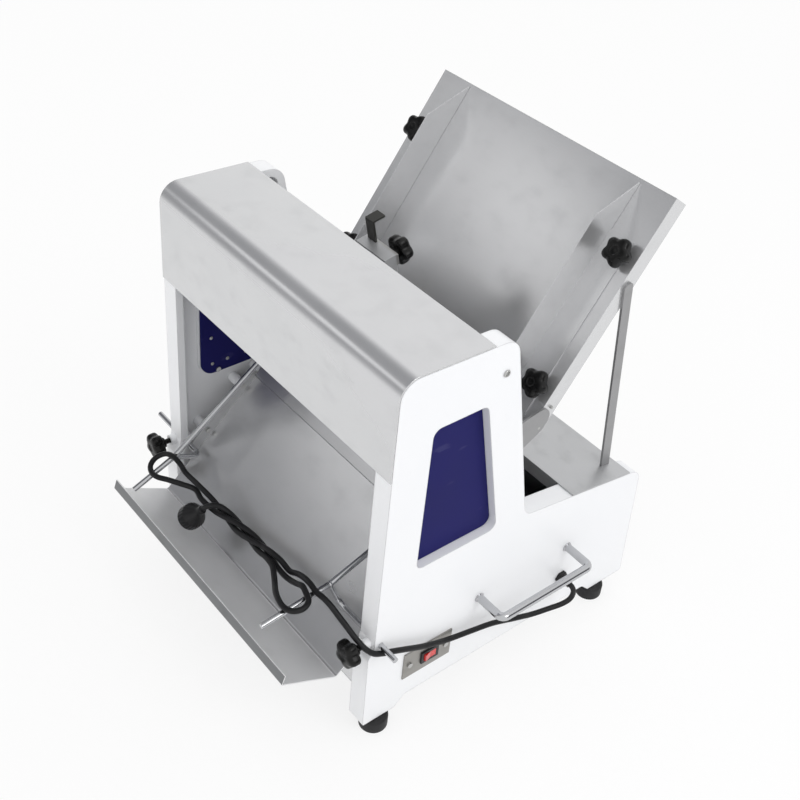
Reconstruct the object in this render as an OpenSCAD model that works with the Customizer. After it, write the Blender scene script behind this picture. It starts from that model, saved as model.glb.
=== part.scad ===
// Bread slicing machine. The loaf slides down the rear chute, through two
// sets of blades that move up and down against each other, onto the front tray.
// X is the width, -Y the outfeed side, +Z up. The origin is on the floor.

/* [Side plates] */
// Clear distance between the two side plates
plate_gap = 450; // [440:5:470]
// Depth of a side plate, from its inner rim to its outer face
plate_depth = 30; // [28:1:34]
// Thickness of a side plate's outer skin
plate_skin = 6; // [4:0.5:8]
// Thickness of the rim round a side plate
plate_rim = 12; // [8:1:14]
// Height of the side plates' feet above the floor
foot_h = 26; // [22:1:30]
// From the origin to the front of the base
base_front = 201; // [198:1:206]
// From the origin to the rear of the base
base_rear = 310; // [306:1:320]
// Rise of the arch under a side plate
arch_rise = 16.5; // [10:0.5:20]
// Length of the front foot of a side plate
front_foot_len = 54; // [50:1:60]
// Length of the rear foot of a side plate
rear_foot_len = 74; // [68:1:84]
// Height of the step in the front edge
jog_z = 162; // [158:1:164]
// Depth of the step in the front edge
jog_step = 9; // [6:0.5:10]
// Height of the column's front top corner
column_h = 605; // [600:1:615]
// Drop of the column's top from front to rear
top_drop = 5; // [0:0.5:8]
// From the origin to the front edge at the top
column_front = 187; // [184:1:189]
// From the origin forward to the column's rear top corner
column_rear_top = 15; // [13:0.5:18]
// From the origin back to the foot of the column
column_rear_low = 54; // [50:1:58]
// Height of the shoulder at the column
shoulder_front_h = 283; // [280:1:288]
// Height of the shoulder at the rear
shoulder_rear_h = 246; // [242:1:252]
// Radius of the large corners
corner_r = 26; // [20:1:30]

/* [Windows] */
// Height of the window's lower edge
window_low = 290; // [286:1:296]
// Height of the window's upper edge
window_high = 516; // [500:1:520]
// From the column's front edge to the window
window_front_margin = 56; // [50:1:60]
// From the column's rear edge to the window
window_rear_margin = 52; // [50:1:58]
// Depth of the window recess
window_depth = 13; // [10:0.5:16]
// Width of the surround behind the window's edge
window_lip = 11; // [10:0.5:12]
// Corner radius of the window
window_r = 12; // [8:1:14]
// Thickness of the blue panel
panel_t = 3; // [2:0.5:4]

/* [Covers] */
// Thickness of the covers and panels
sheet_t = 2; // [1.5:0.25:3]
// Height of the top cover's lower front edge
cover_low = 464; // [450:1:480]
// From the origin forward to the top cover's rear edge
cover_rear = 51; // [48:1:60]
// From the origin back to the rear cover's front edge
deck_front = 148; // [140:1:155]
// From the origin back to the rear cover's rear edge
deck_rear = 269; // [262:1:270]

/* [Infeed chute] */
// Slope of the chute
chute_tilt = 55; // [53:0.5:56]
// From the origin back to the chute's top edge
chute_top_y = 267; // [265:1:269]
// Height of the chute's top edge
chute_top_z = 683; // [680:1:686]
// Depth of the chute's side flanges
flange_h = 27; // [24:1:30]
// Down the chute to the end of its flanges
flange_end = 345; // [335:1:350]
// Gap between the sheet parts and the side plates
side_gap = 3; // [2.5:0.25:4]
// Width of the struts under the chute
strut_w = 13; // [10:1:16]
// Down the chute to the struts' upper bolts
strut_at = 124; // [118:1:132]

/* [Outfeed tray] */
// Slope of the tray's ramp
ramp_tilt = 43; // [42:0.5:44]
// From the origin forward to the tray's valley
valley_front = 223; // [220:1:225]
// Height of the tray's valley
valley_z = 111; // [108:1:114]
// Length of the tray's lip
lip_len = 96; // [92:0.5:98]
// Slope of the tray's lip
lip_tilt = 28; // [24:1:32]
// Height of the hem along the lip
hem_h = 15; // [10:1:20]
// Height of the tray's side walls
tray_wall = 18; // [14:1:18.5]

/* [Blade frames] */
// Number of blades in both frames together
blade_count = 30; // [26:4:30]
// Spacing of neighbouring blades, the thickness of a slice
blade_pitch = 12; // [10:0.5:12]
// Width of a blade
blade_w = 12; // [9:0.5:12]
// Thickness of a blade
blade_t = 1; // [0.8:0.1:1.2]
// From the column's rear edge to the cutting plane
blade_set_back = 77; // [75:1:80]
// Along the blades from the bed to the frames' middle
blade_mid_rise = 58.3; // [54:0.1:62]
// From the frames' middle up to the upper rails
upper_rail_u = 220; // [212:1:222]
// From the frames' middle down to the lower rails
lower_rail_u = 105; // [104:1:110]
// Between the middles of the two frames
frame_spacing = 16; // [15.5:0.5:18]
// Thickness of a frame across the cutting plane
frame_t = 14; // [10:0.5:14]
// Height of a frame's rails
rail_h = 16; // [14:1:18]
// Width of a frame's side bars
side_bar_w = 12; // [10:1:14]
// From the middle of the machine to the side bars' middle
side_bar_x = 206; // [204:0.5:207]

/* [Drive] */
// Half of the blades' stroke
crank_throw = 12; // [8:0.5:13]
// From the frames' middle down to the crankshaft
crank_u = 235; // [232:1:238]
// From the frames' middle down to the rods' upper pins
rod_top_u = 140; // [138:1:142]
// Radius of the crankshaft
shaft_r = 10; // [8:0.5:12]
// Radius of a crank pin
crank_pin_r = 6; // [5:0.5:7]
// Radius of the webs beside a crank pin
web_r = 24; // [21:1:26]
// Thickness of a web
web_t = 7; // [5:0.5:8]
// From the middle to the front frame's crank pins
front_throw_x = 145; // [140:1:148]
// From the middle to the rear frame's crank pins
rear_throw_x = 100; // [95:1:105]
// Thickness of a connecting rod
rod_t = 8; // [6:0.5:9]
// Width of a connecting rod's shank
rod_w = 14; // [10:1:16]
// Radius of the upper pins
wrist_pin_r = 5; // [4:0.5:6]
// From the middle to the pulleys
pulley_x = 188; // [185:1:190]
// Radius of the crankshaft's pulley
crank_pulley_r = 70; // [60:1:72]
// Radius of the motor's pulley
motor_pulley_r = 35; // [28:1:40]
// Width of the pulleys
pulley_w = 18; // [16:1:20]
// Depth of the pulleys' groove
groove_d = 9; // [8:0.5:10]
// Radius of the motor
motor_r = 60; // [54:1:62]
// Length of the motor's body
motor_len = 200; // [170:5:220]
// From the crankshaft back to the motor shaft
motor_back = 178; // [174:1:182]
// Height of the motor shaft
motor_z = 122; // [118:1:126]

/* [Infeed guides] */
// From the middle to a guide's wall
guide_x = 165; // [158:1:170]
// Height of a guide's wall
guide_h = 48; // [40:1:55]
// Down the chute to the tip of a guide
guide_tip_s = 5; // [3:1:10]
// Down the chute to a guide wall's upper corner
guide_corner_s = 68; // [60:1:74]
// Down the chute to the upper end of a guide's base
guide_base_s = 117; // [110:1:124]
// Thickness of the guides
guide_t = 1.5; // [1:0.25:2]
// Width of a guide's base
guide_base_w = 39; // [34:1:42]
// From the middle to the clamp knobs
clamp_x = 200; // [198:0.5:202]
// Down the chute to the upper clamp
clamp_upper_s = 93; // [88:1:98]
// Down the chute to the lower clamp
clamp_lower_s = 288; // [280:1:296]
// Inward travel of an infeed guide
guide_travel = 30; // [15:1:32]

/* [Outfeed guides] */
// Radius of the guide rods
rod_r = 4; // [3.5:0.25:4.5]
// Height of the cross rods
cross_rod_z = 181; // [180:0.5:184]
// From the origin forward to the cross rods
cross_rod_front = 182; // [180:0.5:183]
// From a guide rod to the tip of its cross rod
cross_rod_len = 120; // [112:1:124]
// From the middle to the right cross rod's tip
right_tip_x = 286; // [280:1:290]
// From the middle to the left cross rod's tip
left_tip_x = 306; // [300:1:307]
// Length of the arm that carries a guide rod
arm_len = 49; // [44:1:54]
// Radius of the bend between cross rod and arm
arm_bend_r = 16; // [12:1:20]
// Slope of the right arm
right_arm_tilt = 111; // [105:1:115]
// Slope of the left arm
left_arm_tilt = 156; // [152:1:158]
// Slope of the right guide rod above its kink
right_rod_tilt = 20.3; // [19:0.1:22]
// Slope of the left guide rod above its kink
left_rod_tilt = 37.6; // [36:0.1:39]
// Kink in a guide rod at its arm
rod_kink = 13.5; // [8:0.5:16]
// Length of the right guide rod above its arm
right_rod_up = 145; // [130:1:148]
// Length of the left guide rod above its arm
left_rod_up = 192; // [180:1:196]
// Length of the right guide rod below its arm
right_rod_low = 107; // [95:1:112]
// Length of the left guide rod below its arm
left_rod_low = 74; // [68:1:76]

/* [Knobs] */
// Outer radius of a star knob
knob_r = 19.5; // [17:0.5:20]
// Radius of a knob's lobes
lobe_r = 5.5; // [4.5:0.5:6.5]
// Thickness of a star knob
knob_h = 15; // [12:1:16]
// Height of the collar under a knob
knob_collar_h = 7; // [5:0.5:8]
// Radius of the knobs' threaded studs
stud_r = 4; // [3:0.25:4.5]

/* [Hold-down] */
// From the origin forward to the upper bar
upper_bar_front = 27.6; // [24:0.2:30]
// Height of the upper bar
upper_bar_z = 555; // [552:1:558]
// Side of the square upper bar
upper_bar_w = 16; // [14:1:18]
// From the middle to the strip
strip_x = 27; // [22:1:30]
// Width of the strip
strip_w = 16; // [12:1:18]
// Thickness of the strip
strip_t = 3; // [2:0.5:4]
// From the upper bar's middle up to the strip's top
strip_up = 57; // [50:1:60]
// Length of the strip's thumb tab
tab_len = 17; // [14:1:20]
// Length of the press bar
press_len = 170; // [150:5:200]

/* [Carry handles] */
// Height of the carry handles
handle_z = 163; // [158:1:168]
// From the origin back to a handle's rear leg
handle_rear = 160; // [150:1:166]
// Length of a handle between its legs' middles
handle_len = 170; // [150:1:176]
// From the plate to the middle of the bar
handle_out = 47; // [40:1:50]
// Radius of the handle bar
handle_r = 6; // [5:0.5:7]
// Bend radius of the handle bar
handle_bend = 14; // [12:1:18]

/* [Switch] */
// Length of the switch plate
switch_plate_w = 83; // [76:1:90]
// Height of the switch plate
switch_plate_h = 49; // [44:1:54]
// From the origin forward to the middle of the switch plate
switch_front = 97; // [90:1:102]
// Height of the switch
switch_z = 105.5; // [102:0.5:108]
// Length of the switch bezel
bezel_w = 30; // [26:1:34]
// Height of the switch bezel
bezel_h = 21; // [18:1:24]
// Tilt of the rocker to either side
rocker_tilt = 8; // [5:1:10]

/* [Feet] */
// Radius of a rubber foot
foot_r = 19; // [16:1:20]
// From the origin forward to the front feet
front_foot_y = 172; // [168:1:176]
// From the origin back to the rear feet
rear_foot_y = 255; // [250:1:262]

/* [Cord] */
// Diameter of the cord
cord_d = 8; // [6:0.5:8]
// From the origin back to the cable gland
gland_rear = 160; // [156:1:166]
// Height of the cable gland
gland_z = 101; // [96:1:106]
// Length of the cable gland outside the plate
gland_len = 20; // [18:1:26]

/* [Hidden] */
$fn = 48;
// Number of straight pieces in a rounded corner
arc_steps = 8;
// Running clearance of round fits
run_gap = 0.05;
// Clearance of flat parts that slide or lie close
slide_gap = 0.3;
// Overrun of cuts
over = 1;

// Corner radii
foot_corner_r = 3;
arch_corner_r = 10;
shoulder_fillet = 20;
least_r = 0.8;

// Screws, bolts and the bosses that take them
boss_r = 8;
screw_r = 2;
head_r = 4;
head_h = 2.4;
screw_len = 12;
bolt_r = 4;
bolt_head_r = 7.5;
bolt_head_h = 5.5;
bolt_len = 50;
washer_r = 10;
washer_t = 1.5;
nut_r = 7.5;
nut_h = 6;

// Panels inside the side plates
pan_z = foot_h + arch_rise + sheet_t;
pan_lip = 10;
panel_flange = 22;
panel_inset = 24;
panel_screw_rise = 20;
bed_flange = 20;
bed_margin = 24;
bed_slot_play = 6;
bed_screw_inset = 10;
bed_screw_back = 26;
slot_w = 3;
chute_neck = 6;
bracket_pad = 8;

// Blade frames, their guide blocks and the drive
blade_seat = 4;
bar_low_u = 175;
lug_r = 9;
cheek_t = 5;
block_wall = 1.7;
block_half_v = 22;
block_foot_v = 38;
block_foot_t = 4;
block_screw_v = 30;
low_block_u = -150;
low_block_half = 18;
high_block_u = 187;
high_block_half = 11;
rod_play = 1;
strap_play = 3;
strap_t = 7;
bearing_r = 26;
bearing_w = 14;
bearing_lip = 4;
groove_floor = 9;
groove_wall = 2;
belt_t = 6;
belt_steps = 24;
motor_gap = 14;
motor_end_t = 12;
motor_end_r = 52;
motor_shaft_r = 9;
motor_shaft_in = 20;
cradle_t = 4;
rib_t = 20;
rib_inset = 30;

// Knobs
lobes = 5;
knob_crown = 1.5;

// Hold-down
knob_shift = 5;
bracket_depth = 18;
bracket_side = 6;
bracket_below = 14;
bracket_above = 24;
clamp_t = 4;
clamp_half = 8;
clamp_rise = 15;
press_u = 67;
press_w = 20;
press_t = 3;

// Outfeed clamps
stud_out = 9;
hub_len = 10;
clamp_play = 1;
hub_r = 8;
weld = 0.5;

// Small outside parts
collar_r = 11;
collar_t = 5;
handle_stud = 12;
switch_t = 2;
bezel_shift = 3;
bezel_lip = 2.5;
bezel_rim = 3;
switch_depth = 25;
rocker_gap = 0.5;
gland_nut_t = 6;
gland_r = 11;
gland_nose_r = 8;
gland_thread_r = 7;
foot_taper = 2;
foot_recess_r = 8;
strut_t = 3;
strut_tab = 14;
strut_foot_y = 247;
plug_r = 19;
plug_edge = 2;
plug_flare = 14;
plug_root_r = 9;
plug_len = 38;
neck_r = 6;
neck_len = 8;
pin_r = 2.4;
pin_len = 19;
pin_pitch = 19;

// Shares of a length or a thickness
strut_share = 0.75;
boss_x_share = 0.4;
bar_boss_share = 0.7;
screw_shares = [0.16, 0.84];
rib_share = 0.35;
cord_sides = 6;

white = [0.93, 0.93, 0.91];
blue = [0.17, 0.17, 0.38];
steel = [0.82, 0.83, 0.84];
dark_steel = [0.55, 0.56, 0.58];
chrome = [0.86, 0.87, 0.88];
black = [0.10, 0.10, 0.11];
dark = [0.17, 0.17, 0.16];
nylon = [0.88, 0.87, 0.82];
iron = [0.35, 0.36, 0.38];
red = [0.72, 0.09, 0.08];
plate_grey = [0.54, 0.53, 0.51];

function unit(v) = v / norm(v);
function side(a, b) = let (d = unit(b - a)) [-d[1], d[0]];
function meet(p, d, q, e) = p + d * cross(q - p, e) / cross(d, e);
function flat(p) = [p[0], p[1]];
function polar(r, w) = [r * cos(w), r * sin(w)];

// Corner points [y, z, radius] moved inwards by t
function inset(pts, t) = [
    for (i = [0 : len(pts) - 1])
        let (
            n = len(pts),
            a = flat(pts[(i + n - 1) % n]),
            b = flat(pts[i]),
            c = flat(pts[(i + 1) % n]),
            p = meet(a + side(a, b) * t, b - a, b + side(b, c) * t, c - b),
            r = pts[i][2] + (cross(b - a, c - b) > 0 ? -t : t)
        )
        [p[0], p[1], max(r, least_r)]
];

// Points of one rounded corner at b, between a and c
function corner(a, b, c, r) =
    let (
        u1 = unit(a - b),
        u2 = unit(c - b),
        half = acos(u1 * u2) / 2,
        mid = b + unit(u1 + u2) * r / sin(half),
        s = b + u1 * r / tan(half) - mid,
        e = b + u2 * r / tan(half) - mid,
        turn = atan2(cross(s, e), s * e)
    )
    [for (k = [0 : arc_steps])
        let (w = turn * k / arc_steps)
        mid + [s[0] * cos(w) - s[1] * sin(w), s[0] * sin(w) + s[1] * cos(w)]];

// A whole outline with rounded corners
function rounded(pts) = [
    for (i = [0 : len(pts) - 1])
        let (n = len(pts))
        each corner(flat(pts[(i + n - 1) % n]), flat(pts[i]),
            flat(pts[(i + 1) % n]), pts[i][2])
];

// Outline of a bent sheet below the line p, which runs towards +Y
function below(p, t) = [
    for (k = [1 : len(p)])
        let (i = len(p) - k)
        i == 0 ? p[0] - side(p[0], p[1]) * t
        : i == len(p) - 1 ? p[i] - side(p[i - 1], p[i]) * t
        : meet(p[i - 1] - side(p[i - 1], p[i]) * t, p[i] - p[i - 1],
            p[i] - side(p[i], p[i + 1]) * t, p[i + 1] - p[i])
];
function sheet(p, t) = concat(p, below(p, t));

// Places given along and above a sloping sheet or the cutting plane
function on_slope(o, tilt, s, h) =
    [o[0] + s * cos(tilt) - h * sin(tilt), o[1] + s * sin(tilt) + h * cos(tilt)];
function chute_pt(s, h) = on_slope([chute_top_y, chute_top_z], chute_tilt, -s, h);
function ramp_pt(s, h) = on_slope([-valley_front, valley_z], ramp_tilt, s, h);

// The cutting plane, through the middle of the blade frames and the ramp
blade_lean = atan((column_rear_low + column_rear_top)
    / (column_h - top_drop - shoulder_front_h));
cut_pt = meet([column_rear_low, shoulder_front_h] - polar(blade_set_back, blade_lean),
    polar(1, blade_lean + 90), [-valley_front, valley_z], polar(1, ramp_tilt));
blade_mid = cut_pt + polar(blade_mid_rise, blade_lean + 90);
function blade_pt(u, v) = on_slope(blade_mid, blade_lean, v, u);
// Place across and along the cutting plane of a point [y, z]
function in_plane(p) = let (d = p - blade_mid)
    [d[0] * cos(blade_lean) + d[1] * sin(blade_lean),
        d[1] * cos(blade_lean) - d[0] * sin(blade_lean)];

plate_in = plate_gap / 2;
plate_out = plate_in + plate_depth;
sheet_half = plate_in - side_gap;
recess_x = plate_out - window_depth;

// Outline of a side plate, as [y, z, radius]
jog_front = base_front - jog_step;
jog_top = jog_z + 2 * jog_step;
plate_corners = [
    [-base_front, foot_h, foot_corner_r],
    [front_foot_len - base_front, foot_h, foot_corner_r],
    [front_foot_len - base_front + arch_rise, foot_h + arch_rise, arch_corner_r],
    [base_rear - rear_foot_len - arch_rise, foot_h + arch_rise, arch_corner_r],
    [base_rear - rear_foot_len, foot_h, foot_corner_r],
    [base_rear, foot_h, foot_corner_r],
    [base_rear - arch_rise, shoulder_rear_h, corner_r],
    [column_rear_low, shoulder_front_h, shoulder_fillet],
    [-column_rear_top, column_h - top_drop, corner_r],
    [-column_front, column_h, corner_r],
    [-jog_front, jog_top, foot_corner_r],
    [-base_front, jog_z, foot_corner_r]
];
shoulder_slope = (shoulder_rear_h - shoulder_front_h)
    / (base_rear - arch_rise - column_rear_low);
function shoulder_z(y) = shoulder_front_h + (y - column_rear_low) * shoulder_slope;
function deck_top(y) = shoulder_z(y) + slide_gap + sheet_t;
function column_rear_y(z) =
    column_rear_low - (z - shoulder_front_h) * tan(blade_lean);
function column_front_y(z) = -jog_front
    + (z - jog_top) * (jog_front - column_front) / (column_h - jog_top);

// Outline of a window, and the places of its panel's screws
window_corners = [
    [column_front_y(window_low) + window_front_margin, window_low, window_r],
    [column_rear_y(window_low) - window_rear_margin, window_low, window_r],
    [column_rear_y(window_high) - window_rear_margin, window_high, window_r],
    [column_front_y(window_high) + window_front_margin, window_high, window_r]
];
window_screws_at = [
    for (i = [0, 2])
        let (
            w = inset(window_corners, -window_lip / 2),
            a = flat(w[i]),
            b = flat(w[i + 1])
        )
        for (s = screw_shares) a + (b - a) * s
];

// Where the chute's sheet meets the line of the ramp
chute_foot = meet([chute_top_y, chute_top_z], polar(1, chute_tilt),
    [-valley_front, valley_z], polar(1, ramp_tilt));
chute_len = norm([chute_top_y, chute_top_z] - chute_foot);
ramp_top = norm(chute_foot - [-valley_front, valley_z]);
cut_s = norm(cut_pt - [-valley_front, valley_z]);
frames_half = (frame_spacing + frame_t) / 2;
slot_half = frames_half / cos(ramp_tilt - blade_lean) + bed_slot_play;
bed_low = cut_s - slot_half - bed_margin;
bed_high = ramp_top - 2 * slide_gap;
wall_low = base_front - cross_rod_front + bed_flange * 2.5;
lip_edge = [-valley_front - lip_len * cos(lip_tilt),
    valley_z + lip_len * sin(lip_tilt)];
hem_end = lip_edge + polar(hem_h, 100 - lip_tilt);

front_panel_y = panel_inset - base_front;
front_panel_high = valley_z + bed_screw_inset;
rear_panel_y = base_rear - arch_rise - panel_inset - bed_screw_inset;

// Screws that hold the sheet parts to the side plates
sheet_screws = [
    ramp_pt(bed_low + bed_screw_inset, -bed_flange / 2),
    ramp_pt(bed_high - bed_screw_back, -bed_flange / 2),
    ramp_pt(bed_low / 2, tray_wall / 2),
    ramp_pt(bed_low - bed_margin, tray_wall / 2),
    [front_panel_y + panel_flange / 2, pan_z + panel_screw_rise],
    [front_panel_y + panel_flange / 2, front_panel_high - panel_screw_rise],
    [rear_panel_y - panel_flange / 2, pan_z + panel_screw_rise],
    [rear_panel_y - panel_flange / 2, shoulder_rear_h - 2 * panel_screw_rise]
];
block_screws = [for (u = [low_block_u, high_block_u])
    for (v = [-block_screw_v, block_screw_v]) blade_pt(u, v)];
cross_pt = [-cross_rod_front, cross_rod_z];
upper_bar_pt = [-upper_bar_front, upper_bar_z];
crank_pt = blade_pt(-crank_u, 0);
motor_pt = [crank_pt[0] + motor_back, motor_z];
motor_x = pulley_x - pulley_w / 2 - motor_gap;
clamp_stud_x = plate_out - plate_depth * boss_x_share;
hub_y = -jog_front - hub_len;
handle_ys = [handle_rear, handle_rear - handle_len];

// Places of the chute brackets' screws
bracket_z = chute_pt(flange_end, 0)[1];
rim_screws = [for (z = [bracket_z - 4 * bracket_pad, bracket_z + bracket_pad])
    [column_rear_y(z) - plate_rim / 2, z]];
flange_screws = [for (s = [flange_end - bracket_pad, flange_end - 5 * bracket_pad])
    chute_pt(s, -flange_h / 2)];

// Positions of the blades, the even ones in the front frame
function blade_x(i) = (i - (blade_count - 1) / 2) * blade_pitch;

// Extrudes a side-view outline from x0 to x1
module across(x0, x1) {
    translate([x0, 0, 0])
        rotate([90, 0, 90])
            linear_extrude(x1 - x0)
                children();
}

// A cylinder along X at [y, z]
module along_x(x0, x1, at, r) {
    translate([x0, at[0], at[1]])
        rotate([0, 90, 0])
            cylinder(r = r, h = x1 - x0);
}

module on_chute() {
    translate([0, chute_top_y, chute_top_z])
        rotate([chute_tilt, 0, 0])
            children();
}

module on_ramp() {
    translate([0, -valley_front, valley_z])
        rotate([ramp_tilt, 0, 0])
            children();
}

module in_cut() {
    translate([0, blade_mid[0], blade_mid[1]])
        rotate([blade_lean, 0, 0])
            children();
}

module both_sides() {
    children();
    mirror([1, 0, 0])
        children();
}

// A box given by its low and high corners
module block(a, b) {
    translate(a)
        cube(b - a);
}

// A screw pointing to +X, its head lying on a face at x
module screw_x(x, at, length) {
    along_x(x - head_h, x, at, head_r);
    along_x(x - slide_gap, x + length, at, screw_r);
}

module hexagon(r, h) {
    cylinder(r = r, h = h, $fn = 6);
}

// Star knob on +Z, standing on z = 0, with its stud below
module star_knob(stud_len) {
    lobe_ring = knob_r - lobe_r;
    translate([0, 0, knob_collar_h]) {
        linear_extrude(knob_h)
            union() {
                circle(r = lobe_ring - over);
                for (k = [0 : lobes - 1])
                    rotate(360 * k / lobes)
                        translate([lobe_ring, 0])
                            circle(r = lobe_r);
            }
        cylinder(r = lobe_ring - lobe_r / 2, h = knob_h + knob_crown);
    }
    cylinder(r = 2 * stud_r, h = knob_collar_h);
    translate([0, 0, -stud_len])
        cylinder(r = stud_r, h = stud_len + over);
}

// Side plate, drawn as the right one
module side_plate() {
    difference() {
        union() {
            difference() {
                across(plate_in, plate_out)
                    polygon(rounded(plate_corners));
                across(plate_in - over, plate_out - plate_skin)
                    polygon(rounded(inset(plate_corners, plate_rim)));
            }
            across(recess_x, plate_out - over)
                polygon(rounded(inset(window_corners, -window_lip)));
            for (p = concat(sheet_screws, block_screws))
                along_x(sheet_half, plate_out - over, p, boss_r);
            along_x(plate_in, plate_out - over, crank_pt, bearing_r + bearing_lip);
            along_x(plate_in, plate_out - over, cross_pt, 3 * rod_r);
            along_x(plate_in, plate_out - over, upper_bar_pt,
                upper_bar_w * bar_boss_share);
            translate([clamp_stud_x, hub_y, cross_rod_z])
                rotate([-90, 0, 0])
                    cylinder(r = hub_r, h = hub_len + over);
            for (y = handle_ys)
                along_x(plate_out - handle_stud - over, plate_out - over,
                    [y, handle_z], 2 * handle_r);
        }
        across(recess_x - over, plate_out + over)
            polygon(rounded(window_corners));
        along_x(plate_in - over, plate_out + over, cross_pt, rod_r + run_gap);
        translate([clamp_stud_x, hub_y - over, cross_rod_z])
            rotate([-90, 0, 0])
                cylinder(r = stud_r + run_gap, h = cross_pt[0] - hub_y + over);
        for (p = concat(sheet_screws, block_screws))
            along_x(sheet_half - over, sheet_half + screw_len, p, screw_r);
        for (p = rim_screws)
            along_x(plate_in - over, plate_in + screw_len, p, screw_r);
        for (p = window_screws_at)
            along_x(recess_x - over, recess_x + screw_len - panel_t, p, screw_r);
        along_x(plate_in - over, plate_out + over, upper_bar_pt, bolt_r);
        along_x(plate_in - over, plate_in + bearing_w, crank_pt, bearing_r);
        for (y = handle_ys)
            along_x(plate_out - handle_stud, plate_out + over, [y, handle_z], stud_r);
    }
}

// Right side plate, with the openings for switch and cable gland
module side_plate_right() {
    color(white)
        difference() {
            side_plate();
            block([plate_in, -switch_front + bezel_shift - bezel_w / 2 + bezel_rim,
                    switch_z - bezel_h / 2 + bezel_rim],
                [plate_out + over, -switch_front + bezel_shift + bezel_w / 2 - bezel_rim,
                    switch_z + bezel_h / 2 - bezel_rim]);
            along_x(plate_in, plate_out + over, [gland_rear, gland_z], gland_thread_r);
        }
}

module side_plate_left() {
    color(white)
        mirror([1, 0, 0])
            side_plate();
}

// Blue panel that closes a window from inside
module window_panel() {
    difference() {
        across(recess_x - panel_t, recess_x)
            polygon(rounded(inset(window_corners, over - window_lip)));
        for (p = block_screws)
            along_x(recess_x - panel_t - over, recess_x + over, p, boss_r + slide_gap);
        for (p = window_screws_at)
            along_x(recess_x - panel_t - over, recess_x + over, p, screw_r);
    }
}

module window_panels() {
    color(blue)
        both_sides()
            window_panel();
}

// Cover over the column's front top corner and its top
module top_cover() {
    color(steel)
        intersection() {
            across(-plate_out, plate_out)
                difference() {
                    polygon(rounded(inset(plate_corners, -slide_gap - sheet_t)));
                    polygon(rounded(inset(plate_corners, -slide_gap)));
                }
            block([-plate_out, -base_front, cover_low],
                [plate_out, -cover_rear, column_h + corner_r]);
        }
}

// Sloping deck on the shoulders, with a short lip down at its front
module rear_cover() {
    top = [[deck_front, deck_top(deck_front)], [deck_rear, deck_top(deck_rear)]];
    color(steel) {
        across(-plate_out, plate_out)
            polygon(sheet(top, sheet_t));
        across(-sheet_half, sheet_half)
            polygon([[deck_front, deck_top(deck_front) - over],
                [deck_front, deck_top(deck_front) - panel_flange],
                [deck_front + sheet_t, deck_top(deck_front) - panel_flange],
                [deck_front + sheet_t, deck_top(deck_front) - over]]);
    }
}

// Panel between the side plates: a sheet at y, with flanges towards d
module upright_panel(y, d, low, high) {
    y_in = y + d * sheet_t;
    y_end = y + d * panel_flange;
    difference() {
        union() {
            block([-sheet_half, min(y, y_in), low], [sheet_half, max(y, y_in), high]);
            both_sides()
                block([sheet_half - sheet_t, min(y, y_end), low],
                    [sheet_half, max(y, y_end), high]);
        }
        both_sides()
            for (p = sheet_screws)
                along_x(sheet_half - sheet_t - over, sheet_half + over, p, screw_r);
    }
}

module front_panel() {
    color(steel)
        upright_panel(front_panel_y, 1, pan_z, front_panel_high);
}

module rear_panel() {
    color(steel)
        upright_panel(rear_panel_y, -1, pan_z,
            shoulder_z(rear_panel_y) - slide_gap);
}

module base_pan() {
    color(dark_steel) {
        block([-plate_in, front_panel_y, pan_z - sheet_t],
            [plate_in, rear_panel_y, pan_z]);
        both_sides()
            block([plate_in - sheet_t, front_panel_y + panel_flange + boss_r, pan_z - over],
                [plate_in, rear_panel_y - panel_flange - boss_r, pan_z + pan_lip]);
    }
}

module upper_bar() {
    at = in_plane(upper_bar_pt);
    color(iron)
        difference() {
            in_cut()
                block([-plate_in, at[0] - upper_bar_w / 2, at[1] - upper_bar_w / 2],
                    [plate_in, at[0] + upper_bar_w / 2, at[1] + upper_bar_w / 2]);
            both_sides()
                along_x(plate_out - bolt_len, plate_out, upper_bar_pt, bolt_r);
        }
}

module upper_bar_bolts() {
    color(steel)
        both_sides() {
            along_x(plate_out - bolt_len, plate_out + washer_t, upper_bar_pt, bolt_r);
            along_x(plate_out, plate_out + washer_t, upper_bar_pt, washer_r);
            translate([plate_out + washer_t, upper_bar_pt[0], upper_bar_pt[1]])
                rotate([0, 90, 0])
                    hexagon(bolt_head_r, bolt_head_h);
        }
}

// The blades of the frame on side d, -1 front or 1 rear
module blades(d) {
    in_cut()
        for (i = [(d + 1) / 2 : 2 : blade_count - 1])
            translate([blade_x(i), d * frame_spacing / 2, 0])
                block([-blade_t / 2, -blade_w / 2, -lower_rail_u - blade_seat],
                    [blade_t / 2, blade_w / 2, upper_rail_u + blade_seat]);
}

module blade_frame(d, throw_x) {
    difference() {
        in_cut()
            translate([0, d * frame_spacing / 2, 0])
                difference() {
                    union() {
                        both_sides()
                            block([side_bar_x - side_bar_w / 2, -frame_t / 2, -bar_low_u],
                                [side_bar_x + side_bar_w / 2, frame_t / 2,
                                    upper_rail_u + rail_h / 2]);
                        for (u = [-lower_rail_u, upper_rail_u])
                            block([-side_bar_x, -frame_t / 2, u - rail_h / 2],
                                [side_bar_x, frame_t / 2, u + rail_h / 2]);
                        both_sides()
                            for (s = [-1, 1])
                                translate([throw_x
                                        + s * (rod_t + cheek_t + 2 * slide_gap) / 2, 0, 0])
                                    block([-cheek_t / 2, -frame_t / 2, -rod_top_u - lug_r],
                                        [cheek_t / 2, frame_t / 2, -lower_rail_u]);
                    }
                    both_sides()
                        along_x(throw_x - rod_t - cheek_t, throw_x + rod_t + cheek_t,
                            [0, -rod_top_u], wrist_pin_r);
                }
        blades(d);
    }
}

module blade_frame_front() {
    color(dark_steel)
        blade_frame(-1, front_throw_x);
}

module blade_frame_rear() {
    color(dark_steel)
        blade_frame(1, rear_throw_x);
}

module blades_front() {
    color(chrome)
        blades(-1);
}

module blades_rear() {
    color(chrome)
        blades(1);
}

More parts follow.
